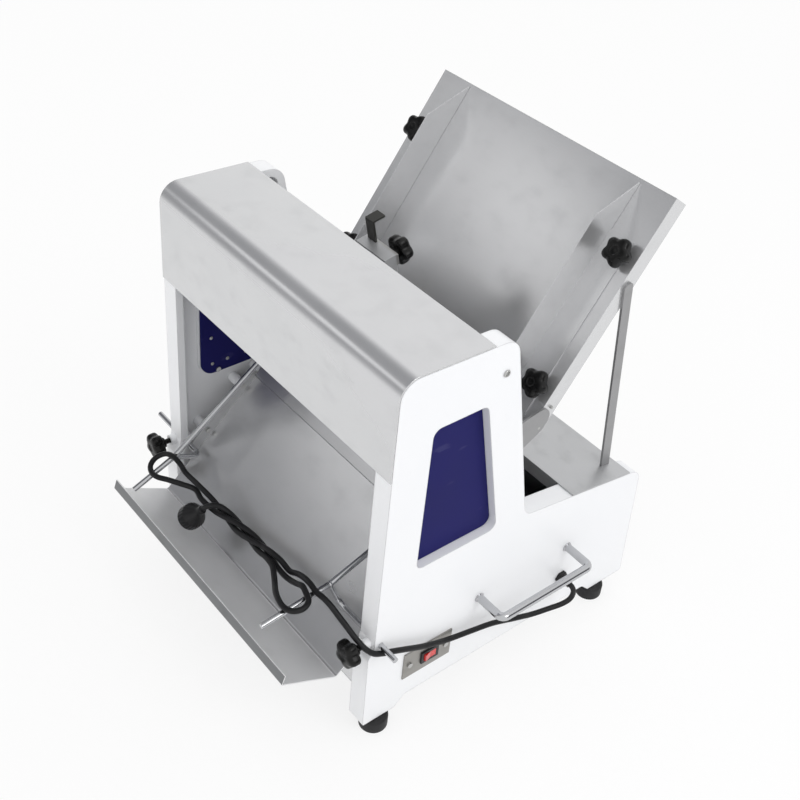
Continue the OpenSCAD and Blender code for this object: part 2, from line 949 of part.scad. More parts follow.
// Nylon block that guides both side bars on one side
module guide_block(u, half) {
    x_in = side_bar_x - side_bar_w / 2 - slide_gap;
    difference() {
        in_cut()
            difference() {
                union() {
                    block([x_in - block_wall, -block_half_v, u - half],
                        [sheet_half, block_half_v, u + half]);
                    block([sheet_half - block_foot_t, -block_foot_v, u - half],
                        [sheet_half, block_foot_v, u + half]);
                }
                for (d = [-1, 1])
                    translate([0, d * frame_spacing / 2, 0])
                        block([x_in, -frame_t / 2 - slide_gap, u - half - over],
                            [x_in + side_bar_w + 2 * slide_gap,
                                frame_t / 2 + slide_gap, u + half + over]);
            }
        for (p = block_screws)
            along_x(sheet_half - block_foot_t - over, sheet_half + over, p, screw_r);
    }
}

module frame_guides() {
    color(nylon)
        both_sides() {
            guide_block(low_block_u, low_block_half);
            guide_block(high_block_u, high_block_half);
        }
}

// Screws of the guide blocks and inner sheets
module inner_screws() {
    color(steel)
        both_sides() {
            for (p = block_screws)
                screw_x(sheet_half - block_foot_t, p, screw_len);
            for (p = sheet_screws)
                screw_x(sheet_half - sheet_t, p, screw_len);
        }
}

// Places of the throws as [x, side of the crank pin]
throws = [for (s = [-1, 1]) each [[s * front_throw_x, 1], [s * rear_throw_x, -1]]];
web_gap = rod_t / 2 + rod_play;

module crankshaft() {
    end_x = plate_in + bearing_w - over;
    color(iron)
        in_cut()
            translate([0, 0, -crank_u]) {
                difference() {
                    along_x(-end_x, end_x, [0, 0], shaft_r);
                    for (t = throws)
                        block([t[0] - web_gap, -web_r, -web_r],
                            [t[0] + web_gap, web_r, web_r]);
                }
                for (t = throws) {
                    for (s = [-1, 1])
                        along_x(t[0] + s * (web_gap + web_t / 2) - web_t / 2,
                            t[0] + s * (web_gap + web_t / 2) + web_t / 2, [0, 0], web_r);
                    along_x(t[0] - web_gap - over, t[0] + web_gap + over,
                        [t[1] * crank_throw, 0], crank_pin_r);
                }
            }
}

module crank_bearings() {
    color(steel)
        both_sides()
            difference() {
                along_x(plate_in, plate_in + bearing_w, crank_pt, bearing_r);
                along_x(plate_in - over, plate_in + bearing_w + over, crank_pt,
                    shaft_r + run_gap);
            }
}

// Grooved pulley along X with its middle at x = 0
module pulley(r, bore) {
    half = pulley_w / 2;
    rotate([0, 90, 0])
        rotate_extrude()
            polygon([[bore, -half], [r, -half], [r, groove_wall - half],
                [r - groove_d, -groove_floor / 2], [r - groove_d, groove_floor / 2],
                [r, half - groove_wall], [r, half], [bore, half]]);
}

module crank_pulley() {
    color(iron)
        translate([pulley_x, crank_pt[0], crank_pt[1]])
            pulley(crank_pulley_r, shaft_r);
}

module motor_pulley() {
    color(iron)
        translate([pulley_x, motor_pt[0], motor_pt[1]])
            pulley(motor_pulley_r, motor_shaft_r);
}

// Outline round two circles of radii r1 and r2
function belt_line(c1, r1, c2, r2) =
    let (
        d = c2 - c1,
        b = atan2(d[1], d[0]),
        a = acos((r1 - r2) / norm(d))
    )
    concat(
        [for (k = [0 : belt_steps])
            c1 + polar(r1, b + a + (360 - 2 * a) * k / belt_steps)],
        [for (k = [0 : belt_steps])
            c2 + polar(r2, b - a + 2 * a * k / belt_steps)]
    );

module drive_belt() {
    r1 = crank_pulley_r - groove_d + slide_gap;
    r2 = motor_pulley_r - groove_d + slide_gap;
    half = groove_floor / 2 - slide_gap;
    color(black)
        across(pulley_x - half, pulley_x + half)
            difference() {
                polygon(belt_line(crank_pt, r1 + belt_t, motor_pt, r2 + belt_t));
                polygon(belt_line(crank_pt, r1, motor_pt, r2));
            }
}

// Connecting rod of the frame on side d, its big end wide open
module rod(x, d) {
    top = [d * frame_spacing / 2, -rod_top_u];
    low = [-d * crank_throw, -crank_u];
    strap = crank_throw * (1 + sqrt(2)) + crank_pin_r + strap_play;
    n = side(top, low) * rod_w / 2;
    neck = low - unit(low - top) * strap;
    in_cut()
        across(x - rod_t / 2, x + rod_t / 2)
            difference() {
                union() {
                    translate(top)
                        circle(r = lug_r);
                    polygon([top + n, neck + n, neck - n, top - n]);
                    translate(low)
                        circle(r = strap + strap_t);
                }
                translate(top)
                    circle(r = wrist_pin_r + run_gap);
                translate(low)
                    circle(r = strap);
            }
}

module wrist_pins(d, x) {
    reach = rod_t / 2 + slide_gap + cheek_t;
    in_cut()
        both_sides()
            along_x(x - reach, x + reach,
                [d * frame_spacing / 2, -rod_top_u], wrist_pin_r);
}

module rods_front() {
    color(steel)
        both_sides()
            rod(front_throw_x, -1);
}

module rods_rear() {
    color(steel)
        both_sides()
            rod(rear_throw_x, 1);
}

module wrist_pins_front() {
    color(iron)
        wrist_pins(-1, front_throw_x);
}

module wrist_pins_rear() {
    color(iron)
        wrist_pins(1, rear_throw_x);
}

module motor() {
    color(iron)
        difference() {
            union() {
                along_x(motor_x - motor_len + motor_end_t, motor_x - motor_end_t,
                    motor_pt, motor_r);
                along_x(motor_x - motor_len, motor_x, motor_pt, motor_end_r);
            }
            along_x(motor_x - motor_shaft_in, motor_x + over, motor_pt,
                motor_shaft_r + run_gap);
        }
}

module motor_shaft() {
    color(steel)
        along_x(motor_x - motor_shaft_in, pulley_x + pulley_w / 2, motor_pt,
            motor_shaft_r);
}

module motor_cradle() {
    x0 = motor_x - motor_len + rib_inset;
    x1 = motor_x - rib_inset;
    color(dark_steel)
        difference() {
            union() {
                block([x0 - rib_t, motor_pt[0] - motor_r, pan_z],
                    [x1 + rib_t, motor_pt[0] + motor_r, pan_z + cradle_t]);
                for (x = [x0, x1 - rib_t])
                    block([x, motor_pt[0] - motor_end_r, pan_z],
                        [x + rib_t, motor_pt[0] + motor_end_r,
                            motor_z - motor_r * rib_share]);
            }
            along_x(x0 - motor_len, x1 + motor_len, motor_pt, motor_r);
        }
}

// Bed with a slot for each blade and a notch for each side bar
module slicing_bed() {
    notch_x = side_bar_x - side_bar_w / 2 - slot_w;
    color(steel)
        difference() {
            on_ramp()
                difference() {
                    union() {
                        block([-sheet_half, bed_low, -sheet_t],
                            [sheet_half, bed_high, 0]);
                        both_sides()
                            block([sheet_half - sheet_t, bed_low, -bed_flange],
                                [sheet_half, bed_high, -over]);
                    }
                    for (i = [0 : blade_count - 1])
                        block([blade_x(i) - slot_w / 2, cut_s - slot_half, -bed_flange],
                            [blade_x(i) + slot_w / 2, cut_s + slot_half, over]);
                    both_sides()
                        block([notch_x, cut_s - slot_half, -bed_flange / 4],
                            [sheet_half - sheet_t, cut_s + slot_half, over]);
                }
            both_sides()
                for (p = sheet_screws)
                    along_x(sheet_half - sheet_t - over, sheet_half + over, p, screw_r);
        }
}

// Chute with flanges, and slots for the guides' studs
module infeed_chute() {
    slot_r = stud_r + slide_gap;
    color(steel)
        difference() {
            on_chute()
                difference() {
                    union() {
                        block([-sheet_half, -flange_end, -sheet_t], [sheet_half, 0, 0]);
                        block([chute_neck - sheet_half, -chute_len, -sheet_t],
                            [sheet_half - chute_neck, over - flange_end, 0]);
                        both_sides()
                            block([sheet_half - sheet_t, -flange_end, -flange_h],
                                [sheet_half, 0, -over]);
                    }
                    both_sides()
                        for (s = [clamp_upper_s, clamp_lower_s]) {
                            block([clamp_x - guide_travel, -s - slot_r, -sheet_t - over],
                                [clamp_x, slot_r - s, over]);
                            for (x = [clamp_x - guide_travel, clamp_x])
                                translate([x, -s, -sheet_t - over])
                                    cylinder(r = slot_r, h = sheet_t + 2 * over);
                        }
                }
            both_sides() {
                for (p = flange_screws)
                    along_x(sheet_half - sheet_t - over, sheet_half + over, p, screw_r);
                along_x(sheet_half - sheet_t - over, sheet_half + over, strut_pt, screw_r);
            }
        }
}

strut_pt = chute_pt(strut_at, -flange_h * strut_share);
strut_foot = [strut_foot_y, deck_top(strut_foot_y)];

// Plates between the chute's flanges and the columns' rims
module chute_brackets() {
    pts = [rim_screws[0], flange_screws[0], flange_screws[1], rim_screws[1]];
    corners = [for (p = pts) [p[0], p[1], bracket_pad]];
    color(dark_steel)
        both_sides()
            difference() {
                across(sheet_half, plate_in)
                    polygon(rounded(inset(corners, -bracket_pad)));
                for (p = pts)
                    along_x(sheet_half - over, plate_in + over, p, screw_r);
            }
}

// Flat struts from the chute's flanges down to the deck
module chute_struts() {
    d = unit(strut_pt - strut_foot);
    n = [-d[1], d[0]] * strut_w / 2;
    color(steel)
        both_sides()
            difference() {
                union() {
                    across(sheet_half, sheet_half + strut_t) {
                        polygon([strut_foot + n, strut_foot - n, strut_pt - n,
                            strut_pt + n]);
                        translate(strut_pt)
                            circle(r = strut_w / 2);
                    }
                    on_deck(strut_foot_y)
                        block([sheet_half - strut_tab, -strut_w / 2, 0],
                            [sheet_half + strut_t, strut_w / 2, strut_t]);
                }
                along_x(sheet_half - over, sheet_half + strut_t + over, strut_pt,
                    screw_r);
                on_deck(strut_foot_y)
                    block([0, -strut_w, -strut_w],
                        [plate_out, strut_w, 0]);
            }
}

module on_deck(y) {
    translate([0, y, deck_top(y)])
        rotate([atan(shoulder_slope), 0, 0])
            children();
}

module chute_screws() {
    color(steel)
        both_sides() {
            for (p = rim_screws)
                screw_x(sheet_half, p, screw_len);
            for (p = flange_screws)
                screw_x(sheet_half - sheet_t, p, plate_in - sheet_half + sheet_t);
            screw_x(sheet_half - sheet_t, strut_pt, strut_t + sheet_t);
        }
}

// Side guide on the chute, drawn as the right one
module infeed_guide() {
    end_s = chute_len - bed_margin;
    on_chute()
        translate([0, 0, slide_gap]) {
            translate([guide_x - guide_t, 0, 0])
                rotate([90, 0, 90])
                    linear_extrude(guide_t)
                        polygon([[-guide_tip_s, 0], [-guide_tip_s, guide_t],
                            [-guide_corner_s, guide_h], [-end_s, guide_h], [-end_s, 0]]);
            difference() {
                block([guide_x - guide_t, -end_s, 0],
                    [guide_x + guide_base_w, -guide_base_s + ear, guide_t]);
                for (s = [clamp_upper_s, clamp_lower_s])
                    translate([clamp_x, -s, -over])
                        cylinder(r = stud_r + run_gap, h = guide_t + 2 * over);
            }
        }
}

// Length of a guide's base above its straight part
ear = guide_base_s - clamp_upper_s + knob_r;

module infeed_guide_right() {
    color(steel)
        infeed_guide();
}

module infeed_guide_left() {
    color(steel)
        mirror([1, 0, 0])
            infeed_guide();
}

// Knob with its stud through guide and chute
module chute_knob(x, s) {
    color(black)
        on_chute()
            translate([x, -s, slide_gap + guide_t])
                star_knob(guide_t + 2 * slide_gap + sheet_t + nut_h);
}

module chute_knob_right_upper() {
    chute_knob(clamp_x, clamp_upper_s);
}

module chute_knob_right_lower() {
    chute_knob(clamp_x, clamp_lower_s);
}

module chute_knob_left_upper() {
    chute_knob(-clamp_x, clamp_upper_s);
}

module chute_knob_left_lower() {
    chute_knob(-clamp_x, clamp_lower_s);
}

module guide_nuts(d) {
    color(steel)
        on_chute()
            for (s = [clamp_upper_s, clamp_lower_s])
                translate([d * clamp_x, -s, -sheet_t - slide_gap - nut_h])
                    difference() {
                        hexagon(nut_r, nut_h);
                        translate([0, 0, -over])
                            cylinder(r = stud_r + run_gap, h = nut_h + 2 * over);
                    }
}

module guide_nuts_right() {
    guide_nuts(1);
}

module guide_nuts_left() {
    guide_nuts(-1);
}

// The hold-down, placed across and along the cutting plane
hold_v = in_plane(upper_bar_pt)[0] + upper_bar_w / 2;
hold_u = in_plane(upper_bar_pt)[1];
strip_v = hold_v + bracket_depth;
clamp_u = hold_u + clamp_rise;

module hold_down_bracket() {
    color(dark_steel)
        in_cut()
            difference() {
                block([-strip_x - strip_w / 2 - bracket_side, hold_v,
                        hold_u - bracket_below],
                    [knob_shift + bracket_below, strip_v, hold_u + bracket_above]);
                block([-strip_x - strip_w / 2 - slide_gap, strip_v - strip_t - slide_gap,
                        hold_u - bracket_below - over],
                    [slide_gap - strip_x + strip_w / 2, strip_v + over,
                        hold_u + bracket_above + over]);
                translate([knob_shift, strip_v + over, clamp_u])
                    rotate([90, 0, 0])
                        cylinder(r = stud_r + run_gap, h = bracket_depth + 2 * over);
            }
}

module hold_down_clamp() {
    color(steel)
        in_cut()
            difference() {
                block([-strip_x - strip_w / 2 - bracket_side, strip_v, clamp_u - clamp_half],
                    [knob_shift + bracket_below, strip_v + clamp_t, clamp_u + clamp_half]);
                translate([knob_shift, strip_v + clamp_t + over, clamp_u])
                    rotate([90, 0, 0])
                        cylinder(r = stud_r + run_gap, h = clamp_t + 2 * over);
            }
}

// Strip with its thumb tab, and the press bar at its foot
module hold_down_strip() {
    top = hold_u + strip_up;
    low = hold_u - press_u;
    color(dark)
        in_cut()
            translate([0, strip_v - slide_gap / 2, 0]) {
                block([-strip_x - strip_w / 2, -strip_t, low],
                    [-strip_x + strip_w / 2, 0, top]);
                block([-strip_x - strip_w / 2, -strip_t, top - strip_t],
                    [-strip_x + strip_w / 2, tab_len, top]);
                block([-strip_x - press_len / 2, -strip_t - press_w / 2, low - press_t],
                    [-strip_x + press_len / 2, press_w / 2, low]);
            }
}

module hold_down_knob() {
    color(black)
        in_cut()
            translate([knob_shift, strip_v + clamp_t, clamp_u])
                rotate([-90, 0, 0])
                    star_knob(bracket_depth);
}

// Tray below the ramp, with its lip and hem
module outfeed_tray() {
    line = [hem_end, lip_edge, [-valley_front, valley_z],
        ramp_pt(bed_low - slide_gap, 0)];
    color(steel)
        difference() {
            union() {
                across(-sheet_half + side_gap, sheet_half - side_gap)
                    polygon(sheet(line, sheet_t));
                on_ramp()
                    both_sides()
                        block([sheet_half - sheet_t, wall_low, -sheet_t],
                            [sheet_half, bed_low - slide_gap, tray_wall]);
                on_ramp()
                    block([-sheet_half, wall_low, -sheet_t],
                        [sheet_half, bed_low - slide_gap, 0]);
            }
            both_sides()
                for (p = sheet_screws)
                    along_x(sheet_half - sheet_t - over, sheet_half + over, p, screw_r);
        }
}

// Guide rod on its bent arm and cross rod, drawn as the right one
module outfeed_guide(tip_x, arm_tilt, rod_tilt, up, low) {
    x = tip_x - cross_rod_len;
    translate([0, cross_pt[0], cross_pt[1]])
        rotate([arm_tilt, 0, 0]) {
            translate([x + arm_bend_r, 0, 0])
                rotate([0, 90, 0])
                    cylinder(r = rod_r, h = cross_rod_len - arm_bend_r);
            translate([x + arm_bend_r, arm_bend_r, 0])
                rotate([0, 0, 180])
                    rotate_extrude(angle = 90)
                        translate([arm_bend_r, 0])
                            circle(r = rod_r);
            translate([x, arm_bend_r, 0])
                rotate([-90, 0, 0])
                    cylinder(r = rod_r, h = arm_len - arm_bend_r);
            translate([x, arm_len, 0]) {
                sphere(r = rod_r + weld);
                rotate([rod_tilt - arm_tilt - 90, 0, 0])
                    cylinder(r = rod_r, h = up);
                rotate([rod_tilt - rod_kink - arm_tilt + 90, 0, 0])
                    cylinder(r = rod_r, h = low);
            }
        }
}

module outfeed_guide_right() {
    color(chrome)
        outfeed_guide(right_tip_x, right_arm_tilt, right_rod_tilt, right_rod_up,
            right_rod_low);
}

module outfeed_guide_left() {
    color(chrome)
        mirror([1, 0, 0])
            outfeed_guide(left_tip_x, left_arm_tilt, left_rod_tilt, left_rod_up,
                left_rod_low);
}

module rod_bushes() {
    color(dark_steel)
        both_sides()
            difference() {
                along_x(sheet_half, plate_in, cross_pt, 2 * rod_r);
                along_x(sheet_half - over, plate_in + over, cross_pt,
                    rod_r + run_gap);
            }
}

module outfeed_knob(d) {
    reach = cross_pt[0] - rod_r - clamp_play - hub_y + stud_out;
    color(black)
        translate([d * clamp_stud_x, hub_y - stud_out, cross_rod_z])
            rotate([90, 0, 0])
                star_knob(reach);
}

module outfeed_knob_right() {
    outfeed_knob(1);
}

module outfeed_knob_left() {
    outfeed_knob(-1);
}

// Carry handle bent from round bar, drawn as the right one
module carry_handle() {
    half = handle_len / 2;
    translate([plate_out, handle_rear - half, handle_z]) {
        for (s = [-1, 1])
            translate([0, s * half, 0])
                rotate([0, 90, 0]) {
                    cylinder(r = handle_r, h = handle_out - handle_bend);
                    cylinder(r = collar_r, h = collar_t);
                    translate([0, 0, -handle_stud])
                        cylinder(r = stud_r, h = handle_stud + over);
                }
        translate([handle_out, handle_bend - half, 0])
            rotate([-90, 0, 0])
                cylinder(r = handle_r, h = handle_len - 2 * handle_bend);
        translate([handle_out - handle_bend, half - handle_bend, 0])
            rotate_extrude(angle = 90)
                translate([handle_bend, 0])
                    circle(r = handle_r);
        translate([handle_out - handle_bend, handle_bend - half, 0])
            rotate([0, 0, -90])
                rotate_extrude(angle = 90)
                    translate([handle_bend, 0])
                        circle(r = handle_r);
    }
}

module carry_handles() {
    color(chrome)
        both_sides()
            carry_handle();
}

// The switch, its middle at [y, z]
switch_pt = [bezel_shift - switch_front, switch_z];
switch_x = plate_out + switch_t;
rocker_r = (bezel_w - 2 * bezel_rim) / 2 - rocker_gap;

module switch_hole(x0, x1, rim) {
    block([x0, switch_pt[0] - bezel_w / 2 + rim, switch_pt[1] - bezel_h / 2 + rim],
        [x1, switch_pt[0] + bezel_w / 2 - rim, switch_pt[1] + bezel_h / 2 - rim]);
}

switch_screw_ys = [for (s = [-1, 1])
    -switch_front + s * (switch_plate_w / 2 - bed_screw_inset)];

module switch_plate() {
    color(plate_grey)
        difference() {
            block([plate_out, -switch_front - switch_plate_w / 2,
                    switch_z - switch_plate_h / 2],
                [switch_x, -switch_front + switch_plate_w / 2,
                    switch_z + switch_plate_h / 2]);
            switch_hole(plate_out - over, switch_x + over, bezel_rim);
            for (y = switch_screw_ys)
                along_x(plate_out - over, switch_x + over, [y, switch_z], screw_r);
        }
}

// Screws of the window panels and of the switch plate
module panel_screws() {
    color(steel) {
        both_sides()
            for (p = window_screws_at)
                screw_x(recess_x - panel_t, p, screw_len);
        for (y = switch_screw_ys) {
            along_x(switch_x, switch_x + head_h, [y, switch_z], head_r);
            along_x(plate_out, switch_x + over, [y, switch_z], screw_r);
        }
    }
}

module switch_body() {
    color(black)
        difference() {
            union() {
                switch_hole(switch_x, switch_x + bezel_lip, 0);
                switch_hole(switch_x - switch_depth, switch_x + over, bezel_rim);
            }
            difference() {
                switch_hole(switch_x - rocker_r - over, switch_x + bezel_lip + over,
                    bezel_rim + over);
                block([switch_x - rocker_r - 2 * over, switch_pt[0] - bezel_w,
                        switch_pt[1] - bezel_h],
                    [switch_x - rocker_r - 2 * over + rocker_gap,
                        switch_pt[0] + bezel_w, switch_pt[1] + bezel_h]);
            }
        }
}

// Rocker on an upright axis, with its rear half pressed in
module rocker() {
    r = rocker_r - over;
    half_h = bezel_h / 2 - bezel_rim - over - rocker_gap;
    color(red)
        translate([switch_x, switch_pt[0], switch_pt[1]])
            rotate([0, 0, rocker_tilt])
                intersection() {
                    translate([0, 0, -half_h])
                        cylinder(r = r, h = 2 * half_h);
                    translate([0, 0, -half_h])
                        linear_extrude(2 * half_h)
                            polygon([[-r / 2, -r], [bezel_lip + r * tan(rocker_tilt), -r],
                                [bezel_lip, 0],
                                [bezel_lip + r * tan(rocker_tilt), r], [-r / 2, r]]);
                }
}

module cable_gland() {
    at = [gland_rear, gland_z];
    color(black)
        difference() {
            union() {
                along_x(plate_out - plate_skin, plate_out + over, at, gland_thread_r);
                translate([plate_out, at[0], at[1]])
                    rotate([0, 90, 0])
                        hexagon(gland_r, gland_nut_t);
                along_x(plate_out + gland_nut_t - over, plate_out + gland_len - over, at,
                    gland_nose_r + over);
                along_x(plate_out + gland_nut_t, plate_out + gland_len, at, gland_nose_r);
            }
            along_x(plate_out - plate_skin - over, plate_out - plate_skin + over, at,
                cord_d / 2);
        }
}

module feet() {
    color(black)
        both_sides()
            for (y = [-front_foot_y, rear_foot_y])
                translate([plate_out - plate_depth * boss_x_share, y, 0])
                    difference() {
                        union() {
                            cylinder(r1 = foot_r - foot_taper, r2 = foot_r, h = foot_taper);
                            translate([0, 0, foot_taper])
                                cylinder(r = foot_r, h = foot_h - foot_taper);
                        }
                        translate([0, 0, -over])
                            cylinder(r = foot_recess_r, h = foot_taper + over);
                    }
}

// From the gland, along the side and over the plate's edge
cord_lead = [
    [275, 160, 101], [279, 160, 101], [286, 157, 100], [291, 150, 98], [293, 140, 96],
    [291, 126, 94], [286, 106, 93], [280, 80, 93], [274, 50, 98], [268, 12, 107],
    [266, -30, 116], [265, -72, 126], [265, -112, 141], [265, -146, 158],
    [264, -168, 168], [262, -184, 173], [259, -197, 179], [251, -206, 188],
    [239, -211, 198], [225, -214, 207], [211, -217, 216], [199, -221, 227],
    [187, -224, 233], [172, -226, 233.5], [156, -224, 233], [139, -221, 227],
    [121, -219, 218],
];
// Loops round the left and right guide rods
left_loop = [
    [-157, -231, 207], [-170, -231, 209], [-182, -232, 209], [-194, -237, 206],
    [-199, -249, 201], [-194, -261, 196], [-182, -266, 193], [-169, -264, 193],
    [-156, -255, 193], [-140, -243, 191],
];
right_loop = [
    [121, -230, 212], [138, -232, 222], [153, -234, 232], [167, -238, 233],
    [179, -243, 232], [184, -255, 231], [179, -267, 230], [167, -272, 229],
    [152, -270, 227.5], [135, -263, 223], [118, -253, 217], [101, -243, 213],
    [83, -234, 210],
];
cord_tail = [[-54, -227, 204], [-64, -235, 204], [-73, -242, 197], [-79, -245, 188]];
// Direction of the plug at the cord's end
plug_dir = unit([-0.6, -0.22, -0.77]);

// Three strands twisted round a line, from right to left
twist_steps = 12;
twist_pitch = 20.5;
twist_from = [104, -225, 211];
twist_fall = 2.33;
twist_lift = 2;
twist_bow_step = 7;
twist_lift_step = 9;
twist_r = 5.6;
twist_angle = 42;
twist_start = -24;
strand_angle = 120;
// The second strand leans to the loop over its last steps
ease_step = 8;
ease_angle = 30;
// Steps of the third strand
third_steps = [2, 7];

function wound(k, turn) =
    let (a = twist_start + k * twist_angle + turn)
    twist_from + [
        -k * twist_pitch,
        twist_r * cos(a) - max(0, k - twist_bow_step),
        twist_r * sin(a) - k * twist_fall + twist_lift * pow(max(0, k - twist_lift_step), 2)];
function second(k) =
    wound(k, 2 * strand_angle - ease_angle * min(max(k - ease_step, 0), 2));

cord_route = concat(
    cord_lead,
    [for (k = [0 : twist_steps]) wound(k, 0)],
    left_loop,
    [for (k = [twist_steps - 1 : -1 : 0]) second(k)],
    right_loop,
    [for (k = [third_steps[0] : third_steps[1]]) wound(k, strand_angle)],
    cord_tail);

// Middle between points i and i + 1 of a smooth curve
function between(p, i) =
    let (a = p[max(i - 1, 0)], d = p[min(i + 2, len(p) - 1)])
    (9 * (p[i] + p[i + 1]) - a - d) / 16;
cord_points = [for (i = [0 : len(cord_route) - 1])
    each i == len(cord_route) - 1 ? [cord_route[i]] : [cord_route[i], between(cord_route, i)]];

// Least gap of the cord to itself, over points that lie apart
apart = 3;
least_gap = min([for (i = [0 : len(cord_points) - 1])
    for (j = [i + apart : 1 : len(cord_points) - 1])
        norm(cord_points[i] - cord_points[j])]) - cord_d;
echo(least_gap = least_gap);

function tangent(p, i) = i == 0 ? [1, 0, 0]
    : i == len(p) - 1 ? plug_dir
    : unit(p[i + 1] - p[i - 1]);
function square_to(n, t) = unit(n - t * (n * t));

// Round tube along the points p, closed at both ends
module tube(p, r) {
    last = len(p) - 1;
    up = [for (i = 0, n = [0, 0, 1]; i <= last;
        i = i + 1, n = square_to(n, tangent(p, min(i, last)))) n];
    rings = [for (i = [0 : last])
        let (t = tangent(p, i), n = up[i], b = cross(t, n))
        for (k = [0 : cord_sides - 1])
            p[i] + r * (n * cos(360 * k / cord_sides) + b * sin(360 * k / cord_sides))];
    sides = [for (i = [0 : last - 1])
        for (k = [0 : cord_sides - 1])
            let (m = (k + 1) % cord_sides, a = i * cord_sides, c = a + cord_sides)
            each [[a + k, c + k, c + m], [a + k, c + m, a + m]]];
    ends = [for (k = [1 : cord_sides - 2])
        each [[0, k, k + 1], [len(rings) - 1, len(rings) - 1 - k, len(rings) - 2 - k]]];
    polyhedron(points = rings, faces = concat(sides, ends));
}

module power_cord() {
    color(black)
        tube(cord_points, cord_d / 2);
}

// Plug at the end of the cord, with two pins
module cord_plug() {
    drum = neck_len + plug_flare;
    color(black)
        translate(cord_route[len(cord_route) - 1])
            rotate([0, acos(plug_dir[2]), atan2(plug_dir[1], plug_dir[0])]) {
                cylinder(r = neck_r, h = neck_len + over);
                translate([0, 0, neck_len])
                    cylinder(r1 = plug_root_r, r2 = plug_r, h = plug_flare);
                translate([0, 0, drum - over])
                    cylinder(r = plug_r - plug_edge, h = plug_len - drum + over);
                translate([0, 0, drum])
                    cylinder(r = plug_r, h = plug_len - drum - plug_edge);
                for (d = [-1, 1])
                    translate([0, d * pin_pitch / 2, plug_len - over])
                        cylinder(r = pin_r, h = pin_len + over);
            }
}

side_plate_right();
side_plate_left();
window_panels();
top_cover();
rear_cover();
front_panel();
rear_panel();
base_pan();
upper_bar();
upper_bar_bolts();
blade_frame_front();
blade_frame_rear();
blades_front();
blades_rear();
frame_guides();
inner_screws();
crankshaft();
crank_bearings();
crank_pulley();
motor_pulley();
drive_belt();
rods_front();
rods_rear();
wrist_pins_front();
wrist_pins_rear();
motor();
motor_shaft();
motor_cradle();
slicing_bed();
infeed_chute();
chute_brackets();
chute_struts();
chute_screws();
infeed_guide_right();
infeed_guide_left();
chute_knob_right_upper();
chute_knob_right_lower();
chute_knob_left_upper();
chute_knob_left_lower();
guide_nuts_right();
guide_nuts_left();
hold_down_bracket();
hold_down_clamp();
hold_down_strip();
hold_down_knob();
outfeed_tray();
outfeed_guide_right();
outfeed_guide_left();
rod_bushes();
outfeed_knob_right();
outfeed_knob_left();
carry_handles();
switch_plate();
panel_screws();
switch_body();
rocker();
cable_gland();
feet();
power_cord();
cord_plug();
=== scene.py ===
# %% [markdown]
# # A bench bread slicing machine
# The machine is two white powder-coated side plates with sheet steel between
# them. Loaves slide down the steep rear chute, through two sets of blades and
# onto the front tray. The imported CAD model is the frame: every solid keeps its
# place, and this lesson gives each one its finish or replaces it with a finer
# surface of the same size.

# %% Load the frame
import math

import bmesh
import bpy
import numpy as np
from mathutils import Matrix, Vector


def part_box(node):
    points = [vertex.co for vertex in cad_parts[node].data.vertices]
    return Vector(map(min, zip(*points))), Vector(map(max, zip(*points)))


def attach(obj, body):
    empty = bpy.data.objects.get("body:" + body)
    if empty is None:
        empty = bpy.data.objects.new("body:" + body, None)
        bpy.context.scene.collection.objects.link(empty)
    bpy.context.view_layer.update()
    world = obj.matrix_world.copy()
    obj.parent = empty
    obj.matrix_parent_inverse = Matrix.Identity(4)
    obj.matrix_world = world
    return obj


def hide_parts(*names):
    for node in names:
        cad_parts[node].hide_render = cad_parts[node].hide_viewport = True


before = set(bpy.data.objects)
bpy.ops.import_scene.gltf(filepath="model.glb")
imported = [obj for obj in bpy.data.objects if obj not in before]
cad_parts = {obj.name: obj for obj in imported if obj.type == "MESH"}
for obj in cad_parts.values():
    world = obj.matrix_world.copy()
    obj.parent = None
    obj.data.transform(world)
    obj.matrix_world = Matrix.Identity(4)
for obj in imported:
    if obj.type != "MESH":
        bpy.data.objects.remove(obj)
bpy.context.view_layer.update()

MM = 0.001

# %% [markdown]
# The photograph looks down on the machine from its front right. The camera's
# place and its three directions were fitted to corners of the side plates, the
# chute and the tray, so they are written as they were measured.

# %% The camera
camera_place = (0.993788, -0.850970, 1.369473)
camera_right = (0.62119, 0.78017, 0.0739)
camera_up = (-0.52218, 0.34176, 0.78136)
camera_back = (0.58434, -0.52396, 0.61969)
lens_mm = 53.31

camera_data = bpy.data.cameras.new("camera")
camera_data.lens = lens_mm
camera_data.sensor_width = 36
camera_data.clip_end = 50
camera = bpy.data.objects.new("camera", camera_data)
bpy.context.scene.collection.objects.link(camera)
turn = Matrix((camera_right, camera_up, camera_back)).transposed().to_4x4()
camera.matrix_world = Matrix.Translation(camera_place) @ turn
bpy.context.scene.camera = camera
print("camera at", camera_place)

# %% [markdown]
# ## The mains cord
# A limp rubber cord leaves the right plate, runs forward below the carry
# handle and over the front edge of the plate, and is wound in long loops round
# the two guide rods, where its strands twist together. A curve with one spline
# is the natural tool: the points are those of the CAD route in metres, and each
# Bezier handle points along the line between the neighbouring points.

# %% Route of the cord
cord_thickness = 8 * MM
gland_front = 275 * MM
gland_rear, gland_height = 160 * MM, 101 * MM

